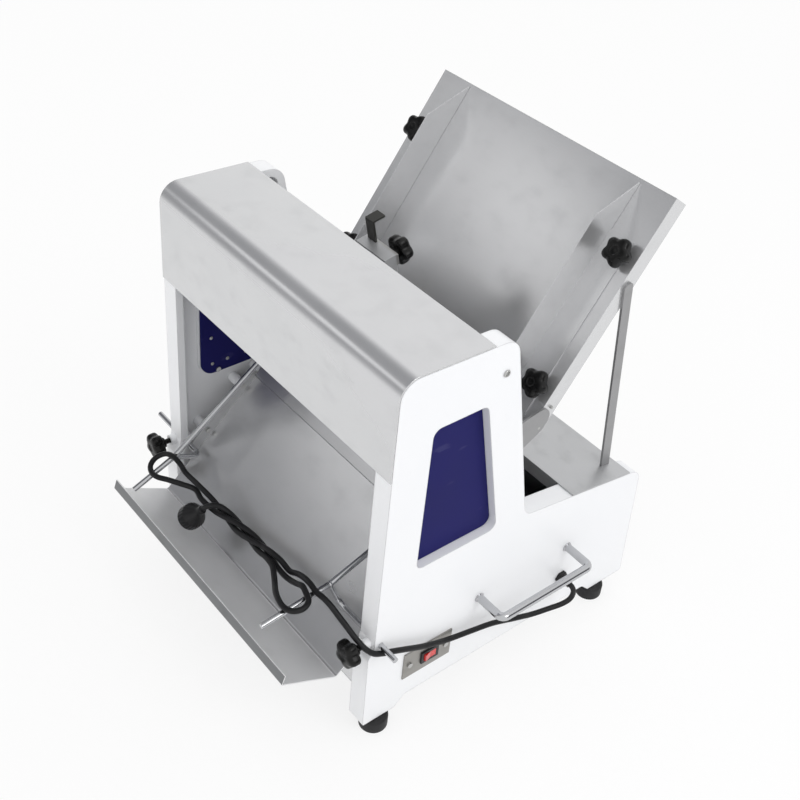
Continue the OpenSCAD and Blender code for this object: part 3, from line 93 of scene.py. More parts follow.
cord_lead = np.array([
    [275, 160, 101], [279, 160, 101], [286, 157, 100], [291, 150, 98], [293, 140, 96],
    [291, 126, 94], [286, 106, 93], [280, 80, 93], [274, 50, 98], [268, 12, 107],
    [266, -30, 116], [265, -72, 126], [265, -112, 141], [265, -146, 158],
    [264, -168, 168], [262, -184, 173], [259, -197, 179], [251, -206, 188],
    [239, -211, 198], [225, -214, 207], [211, -217, 216], [199, -221, 227],
    [187, -224, 233], [172, -226, 233.5], [156, -224, 233], [139, -221, 227],
    [121, -219, 218],
]) * MM
left_loop = np.array([
    [-157, -231, 207], [-170, -231, 209], [-182, -232, 209], [-194, -237, 206],
    [-199, -249, 201], [-194, -261, 196], [-182, -266, 193], [-169, -264, 193],
    [-156, -255, 193], [-140, -243, 191],
]) * MM
right_loop = np.array([
    [121, -230, 212], [138, -232, 222], [153, -234, 232], [167, -238, 233],
    [179, -243, 232], [184, -255, 231], [179, -267, 230], [167, -272, 229],
    [152, -270, 227.5], [135, -263, 223], [118, -253, 217], [101, -243, 213],
    [83, -234, 210],
]) * MM
cord_tail = np.array(
    [[-54, -227, 204], [-64, -235, 204], [-73, -242, 197], [-79, -245, 188]]) * MM

twist_from = np.array([104, -225, 211]) * MM
twist_pitch, twist_fall, twist_lift, twist_bow = 20.5 * MM, 2.33 * MM, 2 * MM, 1 * MM
twist_radius = 5.6 * MM
twist_steps, bow_step, lift_step = 12, 7, 9
twist_angle, twist_start, strand_angle = 42, -24, 120
ease_step, ease_most, ease_angle = 8, 2, 30
tail_from, tail_to = 2, 8
line_parts = 12


def wound(steps, lean):
    """A strand of the twist: the middle line, which falls by the same amount each
    step, bows forward and lifts near its end, plus a circle round it whose angle
    grows by the same amount each step. lean is the strand's angle on the circle."""
    k = np.asarray(steps, float)
    angle = np.radians(twist_start + twist_angle * k + lean)
    past_bow = np.maximum(0, k - bow_step)
    past_lift = np.maximum(0, k - lift_step)
    return twist_from + np.stack([
        -twist_pitch * k,
        twist_radius * np.cos(angle) - twist_bow * past_bow,
        twist_radius * np.sin(angle) - twist_fall * k + twist_lift * past_lift ** 2,
    ], axis=-1)


back = np.arange(twist_steps - 1, -1, -1)
ease = ease_angle * np.minimum(np.maximum(back - ease_step, 0), ease_most)
cord_route = np.concatenate([
    cord_lead, wound(np.arange(twist_steps + 1), 0), left_loop,
    wound(back, 2 * strand_angle - ease), right_loop,
    wound(np.arange(tail_from, tail_to), strand_angle), cord_tail,
])


def smooth_line(points, parts):
    """Catmull-Rom line: between two points, the cubic whose slopes at them are
    half the step from the point before to the point after."""
    padded = np.vstack([2 * points[0] - points[1], points, 2 * points[-1] - points[-2]])
    p0, p1, p2, p3 = padded[:-3], padded[1:-2], padded[2:-1], padded[3:]
    t = (np.arange(parts) / parts)[None, :, None]
    p0, p1, p2, p3 = (p[:, None, :] for p in (p0, p1, p2, p3))
    line = 0.5 * (2 * p1 + (p2 - p0) * t + (2 * p0 - 5 * p1 + 4 * p2 - p3) * t ** 2
                  + (3 * p1 - p0 - 3 * p2 + p3) * t ** 3)
    return np.vstack([line.reshape(-1, 3), points[-1:]])


cord_line = smooth_line(cord_route, line_parts)

# %% The cord as one curve
cord_curve = bpy.data.curves.new("mains_cord", "CURVE")
cord_curve.dimensions = "3D"
cord_curve.bevel_depth = cord_thickness / 2
cord_curve.bevel_resolution = 4
cord_curve.resolution_u = 6
cord_curve.use_fill_caps = True
spline = cord_curve.splines.new("BEZIER")
spline.bezier_points.add(len(cord_route) - 1)
padded_route = np.vstack(
    [2 * cord_route[0] - cord_route[1], cord_route, 2 * cord_route[-1] - cord_route[-2]])
third = (padded_route[2:] - padded_route[:-2]) / 6
spline.bezier_points.foreach_set("co", cord_route.ravel())
spline.bezier_points.foreach_set("handle_left", (cord_route - third).ravel())
spline.bezier_points.foreach_set("handle_right", (cord_route + third).ravel())
mains_cord = bpy.data.objects.new("mains_cord", cord_curve)
bpy.context.scene.collection.objects.link(mains_cord)
print("cord curve made")

# %% [markdown]
# ## Tools for surfaces
# Every new piece is a grid of points worked out as one array. Its faces join
# neighbours in the grid. Ends are closed with one face each, doubles at a pole
# are merged, and the normals are worked out again so that all faces look out.


# %% Shells, and making a piece from them
def tube_shell(rings):
    """Closed shell through rings, an array of ring, point on it, xyz: quads
    between the rings, all the way round, and one face over each end."""
    count, sides = rings.shape[:2]
    number = np.arange(count * sides).reshape(count, sides)
    ends = [number[0].tolist(), number[-1, ::-1].tolist()]
    number = np.hstack([number, number[:, :1]])
    corners = (number[:-1, :-1], number[1:, :-1], number[1:, 1:], number[:-1, 1:])
    return rings.reshape(-1, 3), np.stack(corners, axis=-1).reshape(-1, 4).tolist() + ends


same_point = 0.01 * MM


def make_piece(name, shells, finishes, body="machine", node=None,
               crease=35):
    """Joins shells, pairs of points and faces, into one mesh object named name,
    shaded smooth up to the crease angle, and ties it to its body; the CAD node named node is
    hidden.
    A single finish covers all of it, and a list gives each shell its own."""
    points, faces, which = [], [], []
    start = 0
    for shell, (shell_points, shell_faces) in enumerate(shells):
        points.append(shell_points)
        faces += [[start + i for i in face] for face in shell_faces]
        which += [shell] * len(shell_faces)
        start += len(shell_points)
    mesh = bpy.data.meshes.new(name)
    mesh.from_pydata(np.vstack(points).tolist(), [], faces)
    if isinstance(finishes, list):
        for finish in finishes:
            mesh.materials.append(finish)
        mesh.polygons.foreach_set("material_index", np.array(which, np.int32))
    else:
        mesh.materials.append(finishes)
    work = bmesh.new()
    work.from_mesh(mesh)
    bmesh.ops.remove_doubles(work, verts=work.verts, dist=same_point)
    bmesh.ops.recalc_face_normals(work, faces=work.faces)
    work.to_mesh(mesh)
    work.free()
    mesh.polygons.foreach_set("use_smooth", np.ones(len(mesh.polygons), bool))
    mesh.set_sharp_from_angle(angle=math.radians(crease))
    piece = bpy.data.objects.new(name, mesh)
    bpy.context.scene.collection.objects.link(piece)
    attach(piece, body)
    if node:
        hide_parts(node)
    print(name, len(mesh.polygons), "faces")
    return piece


def frame_of(axis):
    """Three unit vectors square to each other, the last of them along axis."""
    axis = np.asarray(axis, float) / np.linalg.norm(axis)
    helper = np.array([0, 0, 1.0]) if abs(axis[2]) < 0.9 else np.array([1.0, 0, 0])
    first = np.cross(helper, axis)
    first /= np.linalg.norm(first)
    return first, np.cross(axis, first), axis


def turned(profile, centre, axis, wave=None, sides=48):
    """Turned surface: each row of profile, (radius, height), becomes a circle of
    that radius about the axis, that far along it from centre. With wave, the
    radius is also multiplied by wave(angle, row)."""
    u, v, w = frame_of(axis)
    angle = 2 * np.pi * np.arange(sides) / sides
    circle = np.cos(angle)[:, None] * u + np.sin(angle)[:, None] * v
    profile = np.asarray(profile, float)
    radius = profile[:, :1] * np.ones(sides)
    if wave:
        radius = radius * wave(angle[None, :], np.arange(len(profile))[:, None])
    rings = (np.asarray(centre) + profile[:, 1, None, None] * w
             + radius[..., None] * circle)
    return tube_shell(rings)


def along(path, radius, sides=24):
    """Round bar: a circle of the given radius, square to the path at each point.
    The path is bent and lies in one plane, so the circle's first direction is the
    plane's normal and its second is the normal crossed with the path's direction."""
    step = np.gradient(path, axis=0)
    step /= np.linalg.norm(step, axis=1)[:, None]
    normal = np.cross(step[0], step[len(step) // 2])
    normal /= np.linalg.norm(normal)
    second = np.cross(step, normal)
    angle = 2 * np.pi * np.arange(sides) / sides
    rings = path[:, None, :] + radius * (
        np.cos(angle)[None, :, None] * normal + np.sin(angle)[None, :, None] * second[:, None, :])
    return tube_shell(rings)


def arc(centre, radius, start, end, steps):
    """Points on a circle arc in a plane, angles in degrees."""
    angle = np.radians(np.linspace(start, end, steps))
    return np.stack([centre[0] + radius * np.cos(angle),
                     centre[1] + radius * np.sin(angle)], axis=-1)


# %% [markdown]
# The machine's side view is drawn with straight lines and round corners. One
# function rounds all corners at once. It also takes an inset, so the same
# corners give the outer edge, the rim's inner edge and the soft edge between.


# %% Outlines with round corners
least_radius = 0.1 * MM
soft_edge = 0.3 * MM


def outline(corners, inset, steps):
    """Closed outline through corners, rows of (y, z, radius). Each side moves
    inwards by inset, each corner goes to where the moved sides cross, and an arc
    that touches both sides replaces it. Its radius shrinks by the inset at an
    outer corner and grows at an inner one."""
    corners = np.asarray(corners, float)
    place, radius = corners[:, :2], corners[:, 2]
    back_way = place - np.roll(place, 1, axis=0)
    back_way /= np.linalg.norm(back_way, axis=1)[:, None]
    way = np.roll(back_way, -1, axis=0)
    left = np.stack([-way[:, 1], way[:, 0]], axis=-1)
    back_left = np.roll(left, 1, axis=0)
    cosine = (back_way * way).sum(axis=1)
    bend = back_way[:, 0] * way[:, 1] - back_way[:, 1] * way[:, 0]
    moved = place + inset * (left + back_left) / (1 + cosine)[:, None]
    new_radius = np.maximum(radius - np.sign(bend) * inset, least_radius)
    half_turn = np.arctan2(np.abs(bend), cosine) / 2
    reach = new_radius * np.tan(half_turn)
    start = moved - back_way * reach[:, None]
    toward = np.sign(bend)[:, None]
    centre = start + back_left * toward * new_radius[:, None]
    share = np.linspace(-1, 1, steps)[None, :] * half_turn[:, None]
    middle = -(left + back_left) * toward
    middle /= np.linalg.norm(middle, axis=1)[:, None]
    side = np.stack([-middle[:, 1], middle[:, 0]], axis=-1) * toward
    points = centre[:, None, :] + new_radius[:, None, None] * (
        np.cos(share)[..., None] * middle[:, None, :]
        + np.sin(share)[..., None] * side[:, None, :])
    return points.reshape(-1, 2)


def at_x(points, x):
    """Side-view points, rows of (y, z), put at the place x across the machine."""
    return np.column_stack([np.full(len(points), x), points])


def slab(corners, x_one, x_two, edge=soft_edge, steps=10):
    """Closed shell with the outline of corners between two places across the
    machine: the outline at full size, and inset by edge on the two end faces."""
    x_from, x_to = sorted((x_one, x_two))
    full, small = outline(corners, 0, steps), outline(corners, edge, steps)
    places = [(small, x_from), (full, x_from + edge), (full, x_to - edge), (small, x_to)]
    return tube_shell(np.array([at_x(points, x) for points, x in places]))


def bent_sheet(line, thickness):
    """Corners of a bent sheet seen from its edge. line has rows of (y, z, radius)
    on one face. The other face is the same line moved to its right: a corner goes
    to where the moved sides cross, and its radius grows at a turn to the left and
    shrinks at a turn to the right."""
    line = np.asarray(line, float)
    way = np.diff(line[:, :2], axis=0)
    way /= np.linalg.norm(way, axis=1)[:, None]
    before, after = np.vstack([way[:1], way]), np.vstack([way, way[-1:]])
    right = np.stack([after[:, 1] + before[:, 1], -after[:, 0] - before[:, 0]], axis=-1)
    cosine = (before * after).sum(axis=1)
    bend = np.sign(before[:, 0] * after[:, 1] - before[:, 1] * after[:, 0])
    moved = line[:, :2] + thickness * right / (1 + cosine)[:, None]
    radius = line[:, 2] + thickness * bend
    return np.vstack([np.column_stack([moved, radius]), line[::-1]])


# %% [markdown]
# ## Shader maths as plain expressions
# A finish is easier to read as arithmetic than as a drawing of nodes. The class
# Value wraps one output of a node, and arithmetic on such values adds the Math
# node for it. Nodes adds any other node by its type, its settings and what goes
# into its sockets. Finish is a material made that way.


# %% Values and finishes
class Value:
    """One output socket, with the operators that a finish uses."""

    def __init__(self, nodes, socket):
        self.nodes, self.socket = nodes, socket

    def _math(self, kind, a, b):
        return self.nodes.node("ShaderNodeMath", {"operation": kind}, {0: a, 1: b})

    def __add__(self, other):
        return self._math("ADD", self, other)

    def __radd__(self, other):
        return self._math("ADD", other, self)

    def __rsub__(self, other):
        return self._math("SUBTRACT", other, self)

    def __mul__(self, other):
        return self._math("MULTIPLY", self, other)

    def __rmul__(self, other):
        return self._math("MULTIPLY", other, self)

    def __pow__(self, other):
        return self._math("POWER", self, other)

    def step(self, low, high):
        """Smooth step: 0 below low, 1 above high."""
        return self.nodes.node(
            "ShaderNodeMapRange", {"interpolation_type": "SMOOTHSTEP", "clamp": True},
            {"Value": self, "From Min": low, "From Max": high})


class Nodes:
    """A tree of nodes, and the one way to add to it."""

    def __init__(self, tree):
        self.tree = tree

    def node(self, kind, settings=None, sockets=None, output=0):
        """The given output of a new node. A Value that goes into a socket is
        linked to it, and anything else is written on it."""
        made = self.tree.nodes.new(kind)
        for key, setting in (settings or {}).items():
            setattr(made, key, setting)
        for key, value in (sockets or {}).items():
            if isinstance(value, Value):
                self.tree.links.new(value.socket, made.inputs[key])
            else:
                made.inputs[key].default_value = value
        return Value(self, made.outputs[output])

    def mix(self, factor, low, high):
        """Colour from low to high as factor goes from 0 to 1."""
        ends = [(*c, 1) if isinstance(c, tuple) else c for c in (low, high)]
        return self.node("ShaderNodeMix", {"data_type": "RGBA"},
                         {0: factor, 6: ends[0], 7: ends[1]}, output=2)


class Finish(Nodes):
    """A material: one Principled shader, whose uniform numbers are set on its own
    sockets, and the nodes that feed what varies over the surface."""

    def __init__(self, name, **numbers):
        self.material = bpy.data.materials.new(name)
        self.material.use_nodes = True
        super().__init__(self.material.node_tree)
        self.shader = next(n for n in self.tree.nodes if n.type == "BSDF_PRINCIPLED")
        for key, number in numbers.items():
            self.shader.inputs[key.replace("_", " ").title()
                               .replace("Ior", "IOR")].default_value = number
        self.place = self.node("ShaderNodeTexCoord", output="Object")

    def feed(self, **values):
        """Links values to the shader: colour, roughness or normal."""
        sockets = {"colour": "Base Color", "roughness": "Roughness", "normal": "Normal"}
        for key, value in values.items():
            self.tree.links.new(value.socket, self.shader.inputs[sockets[key]])
        return self.material

    def glow(self, factor, under, strength):
        """White light of a strength, mixed over the shader under by the factor, as
        the material's surface."""
        light = self.node("ShaderNodeEmission", {}, {"Strength": strength})
        surface = self.node("ShaderNodeMixShader", {}, {0: factor, 1: under, 2: light})
        output = next(n for n in self.tree.nodes if n.type == "OUTPUT_MATERIAL")
        self.tree.links.new(surface.socket, output.inputs["Surface"])
        return self.material

    def noise(self, size, detail=3, stretch=(1, 1, 1)):
        """Cloudy value from 0 to 1 whose spots are about size metres across,
        longer along an axis where stretch is above 1."""
        spread = tuple(1 / (size * s) for s in stretch)
        place = self.node("ShaderNodeMapping", {}, {0: self.place, "Scale": spread})
        return self.node("ShaderNodeTexNoise", {},
                         {"Vector": place, "Scale": 1, "Detail": detail})

    def soft_edges(self, radius):
        """The normal as it would be if edges were rounded to radius."""
        return self.node("ShaderNodeBevel", {"samples": 4}, {"Radius": radius})

    def worn(self, radius, amount):
        """From 0 on flat places to 1 at outer and inner edges, broken up by
        noise: one less the product of the true and the rounded normal."""
        true = self.node("ShaderNodeNewGeometry", output="Normal")
        rounded = self.soft_edges(radius)
        level = self.node("ShaderNodeVectorMath", {"operation": "DOT_PRODUCT"},
                          {0: true, 1: rounded}, output="Value")
        return ((1 - level) * 6 * (0.35 + self.noise(9 * MM, 5))).step(
            1 - amount, 1.6 - amount)

    def bump(self, height, depth, normal=None):
        """Normal of a surface whose relief is height times depth in metres."""
        sockets = {"Height": height, "Distance": depth, "Strength": 1.0}
        if normal:
            sockets["Normal"] = normal
        return self.node("ShaderNodeBump", {}, sockets)


# %% [markdown]
# ## The white coat
# The side plates are powder coated: a thick white skin with a faint orange
# peel, soft over every edge and a little grey where hands and trolleys have
# rubbed it. The peel is a fine noise as bump, and the rubbed places come from
# comparing the true normal with a rounded one, which differ only near edges.


# %% White powder coat and the blue window panels
coat_edge = 2.2 * MM


def white_coat():
    """Powder coat: orange peel, grey rubbed edges and a few dull specks."""
    f = Finish("white_powder_coat", roughness=0.4, coat_weight=0.12, coat_roughness=0.25)
    cloud = f.noise(160 * MM, 4)
    clean = f.mix(cloud, (0.84, 0.85, 0.875), (0.89, 0.895, 0.905))
    rubbed = f.mix(f.worn(coat_edge, 0.3), clean, (0.56, 0.56, 0.57))
    specks = f.noise(5 * MM, 2).step(0.74, 0.8)
    colour = f.mix(specks * 0.35, rubbed, (0.55, 0.54, 0.52))
    peel = f.noise(1.6 * MM, 2)
    return f.feed(colour=colour, roughness=0.34 + 0.14 * cloud,
                  normal=f.bump(peel, 0.05 * MM, f.soft_edges(coat_edge)))


def blue_panel():
    """Matt dark blue plastic sheet with a few long pale scratches."""
    f = Finish("blue_panel", roughness=0.5, specular_ior_level=0.1)
    cloud = f.noise(60 * MM, 3)
    blue = f.mix(cloud, (0.008, 0.008, 0.088), (0.015, 0.014, 0.118))
    scratch = f.noise(3 * MM, 2, stretch=(1, 14, 5)).step(0.68, 0.8)
    colour = f.mix(scratch * 0.2, blue, (0.10, 0.10, 0.22))
    grain = f.noise(0.9 * MM, 2)
    return f.feed(colour=colour, roughness=0.46 + 0.16 * cloud,
                  normal=f.bump(grain, 0.04 * MM))


# %% [markdown]
# ## Metals
# The covers, tray and chute are thin stainless sheet with a fine grain along
# its length. A brushed look is a noise that is stretched far along the grain,
# used weakly for colour, roughness and bump at once, with larger clouds from
# handling over it. Chrome, zinc screws and oily iron use the same function
# with other numbers.


# %% Metal finishes
def metal(name, dark, light, rough, grain=(1, 1, 1), grain_size=1.2 * MM,
          depth=0.01 * MM, edge=0.6 * MM, stains=0.25, spread=0.12, metallic=1.0):
    """Sheet or bar metal. grain stretches the brushing along an axis, and
    spread is how far the roughness varies."""
    f = Finish(name, metallic=metallic, roughness=rough)
    brushed = f.noise(grain_size, 2, stretch=grain)
    cloud = f.noise(90 * MM, 2)
    tone = brushed * 0.3 + cloud * 0.7
    base = f.mix(tone, dark, light)
    smears = f.noise(34 * MM, 3, stretch=(1, 1, 0.6)).step(0.45, 0.85)
    shade = tuple(c * 0.8 for c in dark)
    colour = f.mix(smears * stains, base, shade)
    roughness = rough - spread / 2 + spread * cloud + 0.1 * smears * stains
    return f.feed(colour=colour, roughness=roughness,
                  normal=f.bump(brushed, depth, f.soft_edges(edge)))


white = white_coat()
blue = blue_panel()
across_grain = (60, 1, 1)
stainless = metal("brushed_stainless", (0.62, 0.625, 0.635), (0.70, 0.702, 0.71), 0.24,
                  grain=across_grain, grain_size=0.8 * MM, depth=0.003 * MM, spread=0.08,
                  metallic=0.72)
# The hem's dark finish is painted shade, standing in for the dark reflection on the folded hem.
hem_painted_shade_steel = metal("hem_painted_shade_steel", (0.17, 0.175, 0.18), (0.25, 0.255, 0.26), 0.34,
                  grain=across_grain, depth=0.004 * MM, stains=0.4)
dull_steel = metal("dull_steel", (0.46, 0.465, 0.475), (0.58, 0.585, 0.595), 0.4,
                   depth=0.02 * MM, stains=0.5, metallic=0.7)
strut_steel = metal("strut_steel", (0.29, 0.29, 0.295), (0.36, 0.36, 0.365), 0.42,
                    depth=0.01 * MM, stains=0.3, metallic=0.6)
# The lip's light, less metallic finish is a painted reflection, lighter than the ramp it reflects.
lip_painted_reflection_steel = metal("lip_painted_reflection_steel", (0.72, 0.725, 0.735), (0.80, 0.802, 0.81), 0.3,
                  grain=across_grain, depth=0.003 * MM, spread=0.08, metallic=0.3)
blade_steel = metal("blade_steel", (0.52, 0.53, 0.55), (0.66, 0.67, 0.69), 0.24,
                    grain=(1, 1, 40), depth=0.005 * MM)
chrome = metal("chrome", (0.44, 0.445, 0.46), (0.58, 0.585, 0.60), 0.14, depth=0.002 * MM,
               stains=0.4, spread=0.08)
zinc = metal("zinc_screws", (0.42, 0.42, 0.41), (0.6, 0.6, 0.59), 0.34, depth=0.01 * MM,
             stains=0.4)
iron = metal("oiled_iron", (0.10, 0.10, 0.105), (0.2, 0.2, 0.205), 0.45, depth=0.06 * MM,
             grain_size=2.5 * MM, stains=0.7)
switch_metal = metal("switch_plate_metal", (0.29, 0.28, 0.265), (0.4, 0.39, 0.37), 0.42,
                     depth=0.01 * MM, stains=0.4)
dark_strip = metal("dark_strip_steel", (0.035, 0.035, 0.033), (0.075, 0.074, 0.07), 0.4,
                   depth=0.02 * MM, stains=0.3, metallic=0.7)

# %% [markdown]
# ## Plastics and rubber
# Knobs, gland and plug are black moulded plastic: not quite black, with a fine
# grain that dulls the highlight and paler rubbed edges. Rubber is softer and
# dustier. The rocker is a clear glossy red.


# %% Moulded finishes
def moulded(name, dark, light, rough, grain=0.7 * MM, depth=0.03 * MM, edge=0.8 * MM,
            dust=(0.16, 0.155, 0.15), dusty=0.3, worn=0.35, **numbers):
    """Moulded plastic or rubber, with dust in clouds and paler worn edges."""
    f = Finish(name, roughness=rough, **numbers)
    cloud = f.noise(14 * MM, 5)
    base = f.mix(cloud, dark, light)
    edges = f.mix(f.worn(edge, worn) * 0.5, base, dust)
    colour = f.mix(f.noise(30 * MM, 6).step(0.5, 0.85) * dusty, edges, dust)
    pits = f.noise(grain, 2)
    return f.feed(colour=colour, roughness=rough - 0.06 + 0.14 * cloud,
                  normal=f.bump(pits, depth, f.soft_edges(edge)))


black_plastic = moulded("black_plastic", (0.007, 0.007, 0.008), (0.016, 0.016, 0.017), 0.34,
                        dusty=0.15, specular_ior_level=0.3)
knob_plastic = moulded("knob_plastic", (0.003, 0.003, 0.003), (0.007, 0.007, 0.007), 0.24,
                       depth=0.006 * MM, dusty=0.06, worn=0.1, specular_ior_level=0.22)
rubber = moulded("rubber", (0.009, 0.009, 0.010), (0.02, 0.02, 0.021), 0.55,
                 depth=0.06 * MM, dusty=0.2, specular_ior_level=0.3)
cord_rubber = moulded("cord_rubber", (0.006, 0.006, 0.007), (0.013, 0.013, 0.014), 0.42,
                      depth=0.02 * MM, dusty=0.12, specular_ior_level=0.25)
nylon = moulded("nylon", (0.62, 0.60, 0.53), (0.74, 0.72, 0.65), 0.5,
                dust=(0.4, 0.38, 0.34), depth=0.03 * MM)
red_plastic = moulded("red_plastic", (0.55, 0.012, 0.010), (0.72, 0.02, 0.016), 0.22,
                      depth=0.01 * MM, dust=(0.6, 0.12, 0.1), dusty=0.1, coat_weight=0.4)

# %% [markdown]
# Every CAD solid that keeps its own shape gets its finish through its object's
# material slot. Its mesh isn't touched. A rule on the node's name picks the
# finish, in the order of the list, and the last rule takes what is left. The
# solids that are replaced further on aren't seen, so they need no rule.

# %% Finishes of the CAD solids
finish_rules = [
    ("side_plate", white), ("window_panels", blue),
    ("blades_", blade_steel), ("blade_frame", dull_steel),
    ("outfeed_guide", chrome), ("screws", zinc), ("guide_nuts", zinc),
    ("hold_down_clamp", zinc), ("hold_down_strip", dark_strip),
    ("hold_down_bracket", dull_steel), ("switch_body", black_plastic),
    ("rocker", red_plastic), ("switch_plate", switch_metal), ("drive_belt", rubber),
    ("frame_guides", nylon), ("rod_bushes", dull_steel), ("base_pan", dull_steel),
    ("motor_cradle", dull_steel), ("chute_brackets", strut_steel),
    ("rear_cover", dull_steel), ("crank", iron), ("pulley", iron), ("motor", iron),
    ("upper_bar", dull_steel), ("wrist_pins", iron), ("rods_", dull_steel),
    ("", stainless),
]


def finish_for(node):
    """The finish of the first rule whose word is in the node's name."""
    return next(finish for word, finish in finish_rules if word in node)


for node_name, node_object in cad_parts.items():
    for place in node_object.material_slots:
        place.link = "OBJECT"
        place.material = finish_for(node_name)
print("finished", len(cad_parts), "CAD solids")

# %% [markdown]
# ## Cord, strain relief and plug
# The cord leaves through a nut with a ribbed rubber sleeve that tapers to the
# cord, so the cord bends gently there. The plug is a plain round one with a
# fluted grip. Both are turned shapes whose radius also depends on the angle.

cord_curve.materials.append(cord_rubber)
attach(mains_cord, "machine")
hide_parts("power_cord")


# %% Strain relief
plate_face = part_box("side_plate_right")[1][0]
nut_radius, nut_depth, thread_radius = 11 * MM, 6 * MM, 7 * MM
sleeve_start, sleeve_end = 7.6 * MM, 5.0 * MM
sleeve_length = gland_front - plate_face - nut_depth
rib_count, rib_height = 4, 0.35 * MM
sleeve_rows = np.linspace(0, 1, 26)
ribs = rib_height * np.cos(2 * np.pi * rib_count * sleeve_rows)
sleeve = np.column_stack([
    sleeve_start + (sleeve_end - sleeve_start) * sleeve_rows + ribs,
    nut_depth + sleeve_length * sleeve_rows])
nut = [[thread_radius, -6 * MM], [thread_radius, 0], [nut_radius - 0.6 * MM, 0],
       [nut_radius, 0.6 * MM], [nut_radius, nut_depth - 1 * MM],
       [nut_radius - 1 * MM, nut_depth], [sleeve_start + rib_height, nut_depth]]
gland_profile = np.vstack([nut, sleeve[1:]])
hexagon_rows = np.isin(np.arange(len(gland_profile)), [2, 3, 4, 5])


def gland_wave(angle, row):
    """1 for round rows. For the nut's rows, the hexagon: the cosine of 30 degrees
    over the cosine of the angle from the middle of the nearest flat."""
    part = np.abs((angle % (np.pi / 3)) - np.pi / 6)
    hexagon = np.cos(np.pi / 6) / np.cos(part)
    return np.where(hexagon_rows[row], hexagon, 1.0)


make_piece("cord_gland",
           [turned(gland_profile, (plate_face, gland_rear, gland_height),
                   (1, 0, 0), gland_wave, 96)],
           black_plastic, node="cable_gland", crease=30)

# %% Plug
plug_way = np.array([-0.6, -0.22, -0.77])
plug_way /= np.linalg.norm(plug_way)
plug_profile = np.array([
    [4.6, -4], [6, -3.2], [6.2, 0], [6.0, 3], [6.6, 7], [9, 10], [13.5, 15], [17.2, 20],
    [18.6, 22], [18.9, 23], [18.9, 35.6], [18.5, 36.8], [17.4, 37.7], [16.6, 38]]) * MM
grip_rows = (plug_profile[:, 1] > 16 * MM) & (plug_profile[:, 1] < 36 * MM)
flute_count, flute_depth = 24, 0.035


def plug_wave(angle, row):
    """1 on plain rows, and on the grip shallow flutes: one less a small share of
    the squared sine of the angle times half their number."""
    flutes = 1 - flute_depth * np.sin(flute_count / 2 * angle) ** 2
    return np.where(grip_rows[row], flutes, 1.0)


plug_end = cord_route[-1]
pin_radius, pin_reach, pin_apart = 2.4 * MM, 57 * MM, 19 * MM
plug_depth = 38 * MM
plug_across = frame_of(plug_way)[1]
pin_profile = [[pin_radius, plug_depth - 2 * MM], [pin_radius, pin_reach - 1.5 * MM],
               [pin_radius * 0.7, pin_reach - 0.3 * MM], [pin_radius * 0.3, pin_reach]]
plug_shells = [turned(plug_profile, plug_end, plug_way, plug_wave, 144)]
for side in (-1, 1):
    plug_shells.append(turned(
        pin_profile, plug_end + side * pin_apart / 2 * plug_across, plug_way, sides=20))
mains_plug = make_piece("mains_plug", plug_shells, [black_plastic, chrome, chrome],
                        node="cord_plug")
print("plug at", (plug_end * 1000).round(), "mm")

# %% [markdown]
# ## Bent sheet: cover and tray
# The top cover is one stainless sheet with a wide round bend at the front, and
# the tray is another with a turned-up hem, a lip and a ramp. A press brake makes
# them from straight lines, so they are drawn seen from the edge as lines with
# round corners, given their thickness and run straight across the machine. The
# finer steps in the bend let the reflection glide round it without facets.

# %% Top cover
sheet_thickness = 2 * MM
cover_gap = 0.3 * MM
plate_half = 255 * MM
cover_reach = cover_gap + sheet_thickness
front_low, front_top, rear_top = (-192 * MM, 180 * MM), (-187 * MM, 605 * MM), (-15 * MM, 600 * MM)
cover_bend = 26 * MM + cover_reach
cover_low_z, cover_rear_y = 464 * MM, -51 * MM


def between(start, end, share):
    """Point on the line from start to end, share of the way along."""
    return tuple(a + (b - a) * share for a, b in zip(start, end))


cover_foot = between(front_low, front_top,
                     (cover_low_z - front_low[1]) / (front_top[1] - front_low[1]))
cover_back = between(front_top, rear_top,
                     (cover_rear_y - front_top[0]) / (rear_top[0] - front_top[0]))
cover_line = [(cover_foot[0] - cover_reach, cover_foot[1], 0.6 * MM),
              (front_top[0] - cover_reach, front_top[1] + cover_reach, cover_bend),
              (cover_back[0], cover_back[1] + cover_reach, 0.6 * MM)]
cover_corners = bent_sheet(cover_line, sheet_thickness)
make_piece("bent_top_cover", [slab(cover_corners, -plate_half, plate_half, steps=24)],
           stainless, node="top_cover")

# %% Outfeed tray
hem_end, lip_edge = (-303.1 * MM, 170.3 * MM), (-307.8 * MM, 156.1 * MM)
valley = (-223 * MM, 111 * MM)
ramp_tilt = math.radians(43)
ramp_way = np.array([math.cos(ramp_tilt), math.sin(ramp_tilt)])
ramp_square = np.array([-ramp_way[1], ramp_way[0]])


def on_ramp(along_it, above):
    """Side-view place that far up the ramp from the valley and above it."""
    return tuple(np.array(valley) + along_it * ramp_way + above * ramp_square)


ramp_end, wall_start, wall_height = 220.1 * MM, 69 * MM, 18 * MM
tray_half, tray_side_gap = 222 * MM, 3 * MM
tray_corners = bent_sheet(
    [(*hem_end, 0.6 * MM), (*lip_edge, 1.6 * MM), (*valley, 5 * MM),
     (*on_ramp(ramp_end, 0), 0.6 * MM)], sheet_thickness)
tray_sheet = slab(tray_corners, tray_side_gap - tray_half, tray_half - tray_side_gap,
                  steps=12)
corner_radius, foot_sink, foot_reach, foot_edge = 0.8 * MM, 0.05 * MM, 2 * MM, 0.1 * MM
wall_low = [(*on_ramp(wall_start, -sheet_thickness), corner_radius),
            (*on_ramp(ramp_end, -sheet_thickness), corner_radius)]
wall_corners = [*wall_low, (*on_ramp(ramp_end, wall_height), 2 * MM),
                (*on_ramp(wall_start, wall_height), 5 * MM)]
foot_corners = [*wall_low, (*on_ramp(ramp_end, -foot_sink), corner_radius),
                (*on_ramp(wall_start, -foot_sink), corner_radius)]
tray_shells = [tray_sheet]
